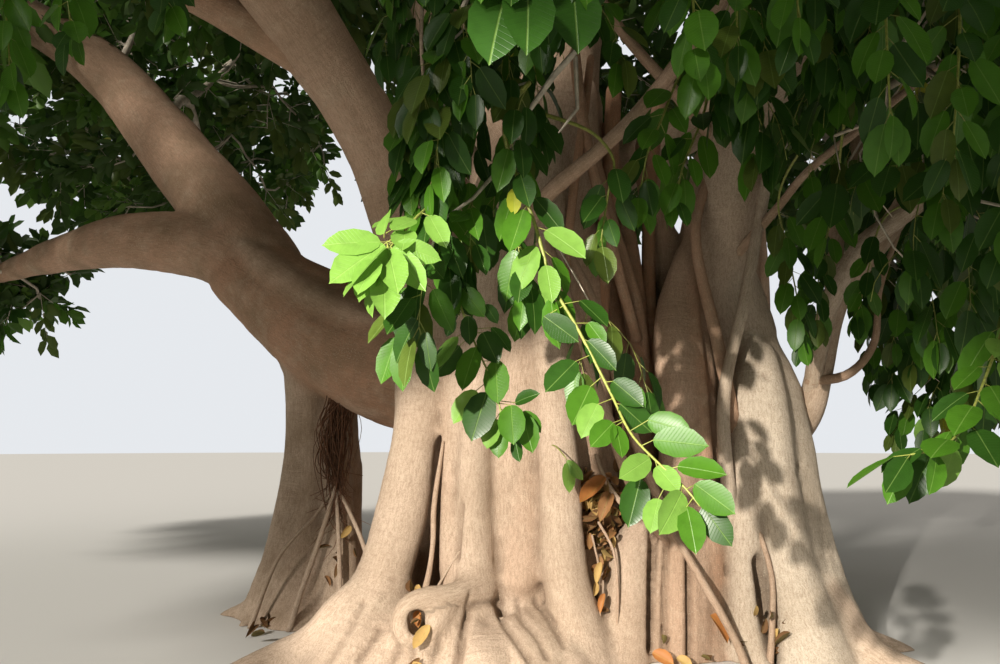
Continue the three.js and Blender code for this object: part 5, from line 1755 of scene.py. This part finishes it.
class BANYAN_OT_left_boughs(bpy.types.Operator):
    """Grows the heavy left boughs and their pillar into one limb"""

    bl_idname = "banyan.left_boughs"
    bl_label = "Left Boughs and Pillar"

    def execute(self, context):
        wood = context.scene.banyan_wood
        strands = [*LEFT_LIMBS.values(), *LEFT_RIBS, *ground_roots(PILLAR_ROOTS)]
        mesh = fused_wood("left_boughs", strands, wood.bough_grain, wood.relief, 100000)
        new_piece(mesh, [bark("bark_bough")], list(LEFT_LIMBS))
        return {"FINISHED"}


class BANYAN_OT_boughs(bpy.types.Operator):
    """Makes the boughs that carry the rest of the crown, and the thin ones between them"""

    bl_idname = "banyan.boughs"
    bl_label = "Boughs"

    def execute(self, context):
        strands = [*BOUGHS.values(), *BRANCHES]
        mesh = bark_tubes("upper_boughs", strands, 0.07, context.scene.banyan_wood.relief)
        new_piece(mesh, [bark("bark_bough")], list(BOUGHS))
        return {"FINISHED"}


class BANYAN_OT_roots(bpy.types.Operator):
    """Makes the hanging roots and posts, and the bunch of hair roots on the left pillar"""

    bl_idname = "banyan.roots"
    bl_label = "Hanging Roots"

    def execute(self, context):
        wood = context.scene.banyan_wood
        strands = [*ROOTS.values(), *FINE_ROOTS, *winding_roots()]
        mesh = bark_tubes("prop_roots", strands, 0.045, wood.relief * 0.7)
        new_piece(mesh, [bark("bark_root")], list(ROOTS))
        rng = np.random.default_rng(5)
        hairs = []
        for _ in range(wood.hair_roots):
            top, middle, knot = (np.array(HAIR_ROOTS[part]) for part in ("top", "middle", "knot"))
            top = top + rng.normal(0, 1, 3) * [0.07, 0.03, 0.05]
            middle = middle + rng.normal(0, 1, 3) * [0.09, 0.04, 0.14]
            knot = knot + rng.normal(0, 1, 3) * [0.05, 0.03, 0.16]
            loose = knot + rng.normal(0, 1, 3) * [0.1, 0.05, 0.1] - UP * 0.1
            bends = [top, (top + middle) / 2 + rng.normal(0, 0.03, 3), middle, knot, loose]
            thick = rng.uniform(0.003, 0.009)
            hairs.append(Strand(bends, [thick, thick, thick * 0.8, thick * 0.4]))
        thin_piece("hair_roots", hairs, 0.08, 3, "root_hair")
        return {"FINISHED"}


class BANYAN_OT_branches(bpy.types.Operator):
    """Grows the branches inside the masses of leaves, on from the boughs"""

    bl_idname = "banyan.branches"
    bl_label = "Branches"

    def execute(self, context):
        mesh = mesh_from("crown_branches", *thin_tubes(branch_strands(grown_crown()), 0.3))
        new_piece(mesh, [thin_skin("branch_skin")])
        return {"FINISHED"}


# The pieces that the crown's leaves are joined into, and the masses that each stands for.
CROWN_PIECES = {
    "leaves_front": ["outer_front", "outer_front_left", "outer_front_right", "low_front_left"],
    "leaves_sides": ["outer_left", "outer_right", "low_left"],
    "leaves_back": ["outer_back", "outer_back_left", "outer_back_right"],
    "leaves_top": [
        "crown_top", "upper_front", "upper_right", "upper_left", "upper_back_left", "upper_back_right"],
    "leaves_inner": ["inner_front", "inner_right", "inner_left", "inner_back"],
}


class BANYAN_OT_crown(bpy.types.Operator):
    """Dresses the crown's branches with twigs and leaves"""

    bl_idname = "banyan.crown"
    bl_label = "Crown Leaves"

    def execute(self, context):
        growth = grown_crown()
        rng = np.random.default_rng(context.scene.banyan_crown.seed + 1)
        mass = np.array(growth.mass)
        twigs = []
        for name, masses in CROWN_PIECES.items():
            picked = np.flatnonzero(np.isin(mass, masses))
            leaves, finish, stalks = dressed(*crown_sprays(growth, picked, rng), rng)
            mesh = mesh_from(name, leaves[0], leaves[1], finish)
            new_piece(mesh, leaf_materials(False), masses)
            twigs.append(stalks)
        new_piece(mesh_from("crown_twigs", *joined(twigs)), [thin_skin("twig_skin")])
        return {"FINISHED"}


class BANYAN_OT_curtains(bpy.types.Operator):
    """Hangs the curtains of leaves round the trunk"""

    bl_idname = "banyan.curtains"
    bl_label = "Leaf Curtains"

    def execute(self, context):
        growth = grown_crown()
        rng = np.random.default_rng(context.scene.banyan_crown.seed + 2)
        shoots = [shoot for name in CURTAIN_SPRAYS for shoot in curtain_shoots(growth, name, rng)]
        shoots = [shoot for shoot in shoots if leaves_view_open(np.array(shoot[0]), np.zeros(3)).all()]
        near_foliage("curtain_leaves", shoots, PLAIN_ROWS, list(CURTAIN_SPRAYS))
        stems = [Strand(shoot[0], [0.004, 0.003, 0.002]) for shoot in shoots]
        thin_piece("curtain_shoots", stems, 0.12, 3, "shoot_skin")
        return {"FINISHED"}


class BANYAN_OT_sprays(bpy.types.Operator):
    """Hangs the bright sprays before the trunk"""

    bl_idname = "banyan.sprays"
    bl_label = "Hanging Sprays"

    def execute(self, context):
        size = context.scene.banyan_crown.near_leaf
        shoots = []
        for name, shoot in SPRAYS.items():
            bare, gap, bright = SPRAY_HABITS[name]
            dull = 1 - bright
            tones = [BRIGHT] * round(bright * 10) + [MID] * round(dull * 6) + [DARK] * round(dull * 4)
            leafy = shoot[:3] if name in SPRAY_LEAVES else shoot
            shoots.append((leafy, bare, gap, size * 1.1, (-0.15, -0.8, 0.45), tones, 0.6))
        for number, shoot in enumerate(LOW_SHOOTS):
            tones = [MID] * 3 + [DARK] * 2 + [OLIVE] * (number % 3)
            shoots.append((shoot, 0.1, 0.055, size * 1.04, (-0.1, -0.85, 0.2), tones, 0.9))
        stars = [(start, tips, (-0.2, -0.85, 0.4), [tone]) for start, tips, tone in SPRAY_STARS]
        placed = [(SPRAYS[name], leaves, (-0.15, -0.9, 0.35)) for name, leaves in SPRAY_LEAVES.items()]
        placed += [(LOW_SHOOTS[number], leaves, (0, -0.95, 0.1)) for number, leaves in LOW_LEAVES.items()]
        near_foliage("spray_leaves", shoots, FINE_ROWS, list(SPRAYS), stars, placed)
        growth = grown_crown()
        taper = [0.013, 0.01, 0.008, 0.006, 0.004]
        stems = [Strand(hung_from(growth, shoot), taper) for shoot in [*SPRAYS.values(), *LOW_SHOOTS]]
        stems.append(Strand(SPRIG, [0.006, 0.005, 0.004]))
        thin_piece("spray_shoots", stems, 0.04, 6, "shoot_skin")
        return {"FINISHED"}


# For each kind of dry leaf: its tint, its roughness and the light that it lets through.
DRY_TONES = {
    "leaf_dry": ((1, 1, 1), 0.6, 0.15),
    "leaf_fallen": ((1.6, 2.1, 1.9), 0.55, 0.15),
    "leaf_rotten": ((0.5, 0.5, 0.5), 0.75, 0.1),
    "leaf_orange": ((1.35, 1.1, 0.8), 0.5, 0.15),
}


class BANYAN_OT_dry_leaves(bpy.types.Operator):
    """Drops dry leaves between the stems and on the roots"""

    bl_idname = "banyan.dry_leaves"
    bl_label = "Dry Leaves"

    def execute(self, context):
        rng = np.random.default_rng(31)
        bases, lengths = [], []
        for place, reach, count, length in DRY_LEAVES:
            bases.append(np.array(place) + rng.normal(0, 1, (count, 3)) * reach)
            lengths.append(length * rng.uniform(0.7, 1.2, count))
        bases, lengths = np.vstack(bases), np.concatenate(lengths)
        bases[:, 2] = np.maximum(bases[:, 2], 0.05)
        total = len(bases)
        axes = unit(rng.normal(size=(total, 3)) * [1, 0.7, 0.8] - UP * 0.4)
        axes[bases[:, 2] < 0.12, 2] *= 0.1
        tones = rng.choice(3, total, p=[0.35, 0.2, 0.45])
        widths, folds = rng.uniform(0.5, 1.0, total), rng.uniform(0.7, 1.8, total)
        lone = [np.array(column) for column in zip(*LONE_DRY_LEAVES)]
        lone_bases, lone_tips, lone_tones, lone_widths = lone
        ahead = lone_tips - lone_bases
        bases = np.vstack([bases, lone_bases])
        axes = np.vstack([unit(axes), unit(ahead)])
        lengths = np.concatenate([lengths, np.linalg.norm(ahead, axis=1)])
        total = len(bases)
        scatter = np.where(np.arange(total) < len(widths), 1, 0.3)[:, None]
        faces = square_to(rng.normal(size=(total, 3)) * scatter + [0, -1.2, 0.8], axes)
        widths = np.concatenate([widths, lone_widths])
        folds = np.concatenate([folds, np.full(len(lone_bases), 1.1)])
        corners, triangles, places = lay_leaves(
            near_leaf(FINE_ROWS), bases, axes, faces, lengths, widths, folds, rng.uniform(-0.7, 0.7, total))
        corners[:, 2] = np.maximum(corners[:, 2], 0.002)
        tone = np.repeat(np.concatenate([tones, lone_tones]), len(triangles) // total)
        mesh = mesh_from("dry_leaves", corners, triangles, tone, places)
        finishes = []
        for name, (tint, roughness, glow) in DRY_TONES.items():
            colour = tuple(value * part for value, part in zip(context.scene.banyan_colours.dry_leaf, tint))
            finishes.append(leaf_material(name, colour, roughness, glow))
        new_piece(mesh, finishes)
        return {"FINISHED"}


class BANYAN_OT_stage(bpy.types.Operator):
    """Lays the floor and sets the camera and the lights"""

    bl_idname = "banyan.stage"
    bl_label = "Camera, Floor and Lights"

    def execute(self, context):
        scene, studio = context.scene, context.scene.banyan_studio
        self.set_camera(scene)
        self.lay_floor(scene, studio)
        self.set_surround(scene, studio)
        key, holder = self.light(scene, "key_light", "SUN", studio.key, (1.0, 0.95, 0.86))
        key.angle = math.radians(8)
        holder.rotation_euler = (math.radians(58), 0, math.radians(-38))
        low, holder = self.light(scene, "low_light", "SPOT", studio.under, (1.0, 0.94, 0.84))
        low.spot_size = math.radians(36)
        low.spot_blend = 0.4
        low.shadow_soft_size = 0.07
        holder.location = LOW_LIGHT
        aim = (Vector(LIT_FOOT) - holder.location).to_track_quat("-Z", "Y")
        holder.rotation_euler = (aim @ Quaternion((0, 0, 1), math.radians(10))).to_euler()
        holder.scale = (1, 0.62, 1)
        scene.view_settings.view_transform = "Standard"
        return {"FINISHED"}

    def set_camera(self, scene):
        lens = bpy.data.cameras.new("camera")
        lens.sensor_width = 36
        lens.lens = EYE_LENS
        lens.clip_end = 500
        camera = bpy.data.objects.new("camera", lens)
        camera.location = EYE
        camera.rotation_euler = (math.radians(EYE_TILT), 0, 0)
        scene.collection.objects.link(camera)
        scene.camera = camera

    def set_surround(self, scene, studio):
        """Light from all round. Its warm light falls on the tree, and the camera sees it pale blue."""
        world = bpy.data.worlds.new("soft_light")
        scene.world = world
        world.use_nodes = True
        tree = world.node_tree
        surround = tree.nodes["Background"].inputs
        seen = outlet(tree, "ShaderNodeLightPath", "Is Camera Ray")
        tree.links.new(blend(tree, seen, rgba((1.0, 0.95, 0.87)), rgba((0.93, 0.96, 1.0))), surround["Color"])
        tree.links.new(spread(tree, seen, 0.0, 1.0, studio.sky, studio.backdrop), surround["Strength"])

    def light(self, scene, name, kind, power, colour):
        """A new light and the object that holds it."""
        light = bpy.data.lights.new(name, kind)
        light.energy = power
        light.color = colour
        holder = bpy.data.objects.new(name, light)
        scene.collection.objects.link(holder)
        return light, holder

    def lay_floor(self, scene, studio):
        shape = bmesh.new()
        bmesh.ops.create_circle(shape, cap_ends=True, radius=120.0, segments=96)
        mesh = bpy.data.meshes.new("floor")
        shape.to_mesh(mesh)
        shape.free()
        floor = bpy.data.objects.new("floor", mesh)
        floor.location.z = -0.004
        scene.collection.objects.link(floor)
        material, _, surface, _ = new_material("floor_paint")
        surface.inputs["Base Color"].default_value = rgba(studio.floor)
        surface.inputs["Roughness"].default_value = 0.9
        mesh.materials.append(material)


STEPS = (
    BANYAN_OT_stage, BANYAN_OT_trunk, BANYAN_OT_left_boughs, BANYAN_OT_boughs, BANYAN_OT_roots,
    BANYAN_OT_branches, BANYAN_OT_crown, BANYAN_OT_curtains, BANYAN_OT_sprays, BANYAN_OT_dry_leaves,
)
SETTINGS = {
    "banyan_wood": BanyanWood, "banyan_crown": BanyanCrown, "banyan_colours": BanyanColours,
    "banyan_studio": BanyanStudio,
}


class BANYAN_PT_panel(bpy.types.Panel):
    """Lists the steps that build the banyan and the values that they use"""

    bl_idname = "BANYAN_PT_panel"
    bl_label = "Banyan Tree"
    bl_space_type = "VIEW_3D"
    bl_region_type = "UI"
    bl_category = "Banyan"

    def draw(self, context):
        for step in STEPS:
            self.layout.operator(step.bl_idname)
        for name, group in SETTINGS.items():
            box = self.layout.box()
            for prop in group.__annotations__:
                box.prop(getattr(context.scene, name), prop)


def register():
    for cls in (*SETTINGS.values(), *STEPS, BANYAN_PT_panel):
        bpy.utils.register_class(cls)
    for name, group in SETTINGS.items():
        setattr(bpy.types.Scene, name, bpy.props.PointerProperty(type=group))


def unregister():
    for name in SETTINGS:
        delattr(bpy.types.Scene, name)
    for cls in reversed((*SETTINGS.values(), *STEPS, BANYAN_PT_panel)):
        bpy.utils.unregister_class(cls)


def main():
    register()
    bpy.ops.banyan.stage()
    bpy.ops.banyan.trunk()
    bpy.ops.banyan.left_boughs()
    bpy.ops.banyan.boughs()
    bpy.ops.banyan.roots()
    bpy.ops.banyan.branches()
    bpy.ops.banyan.crown()
    bpy.ops.banyan.curtains()
    bpy.ops.banyan.sprays()
    bpy.ops.banyan.dry_leaves()


if __name__ == "__main__":
    main()
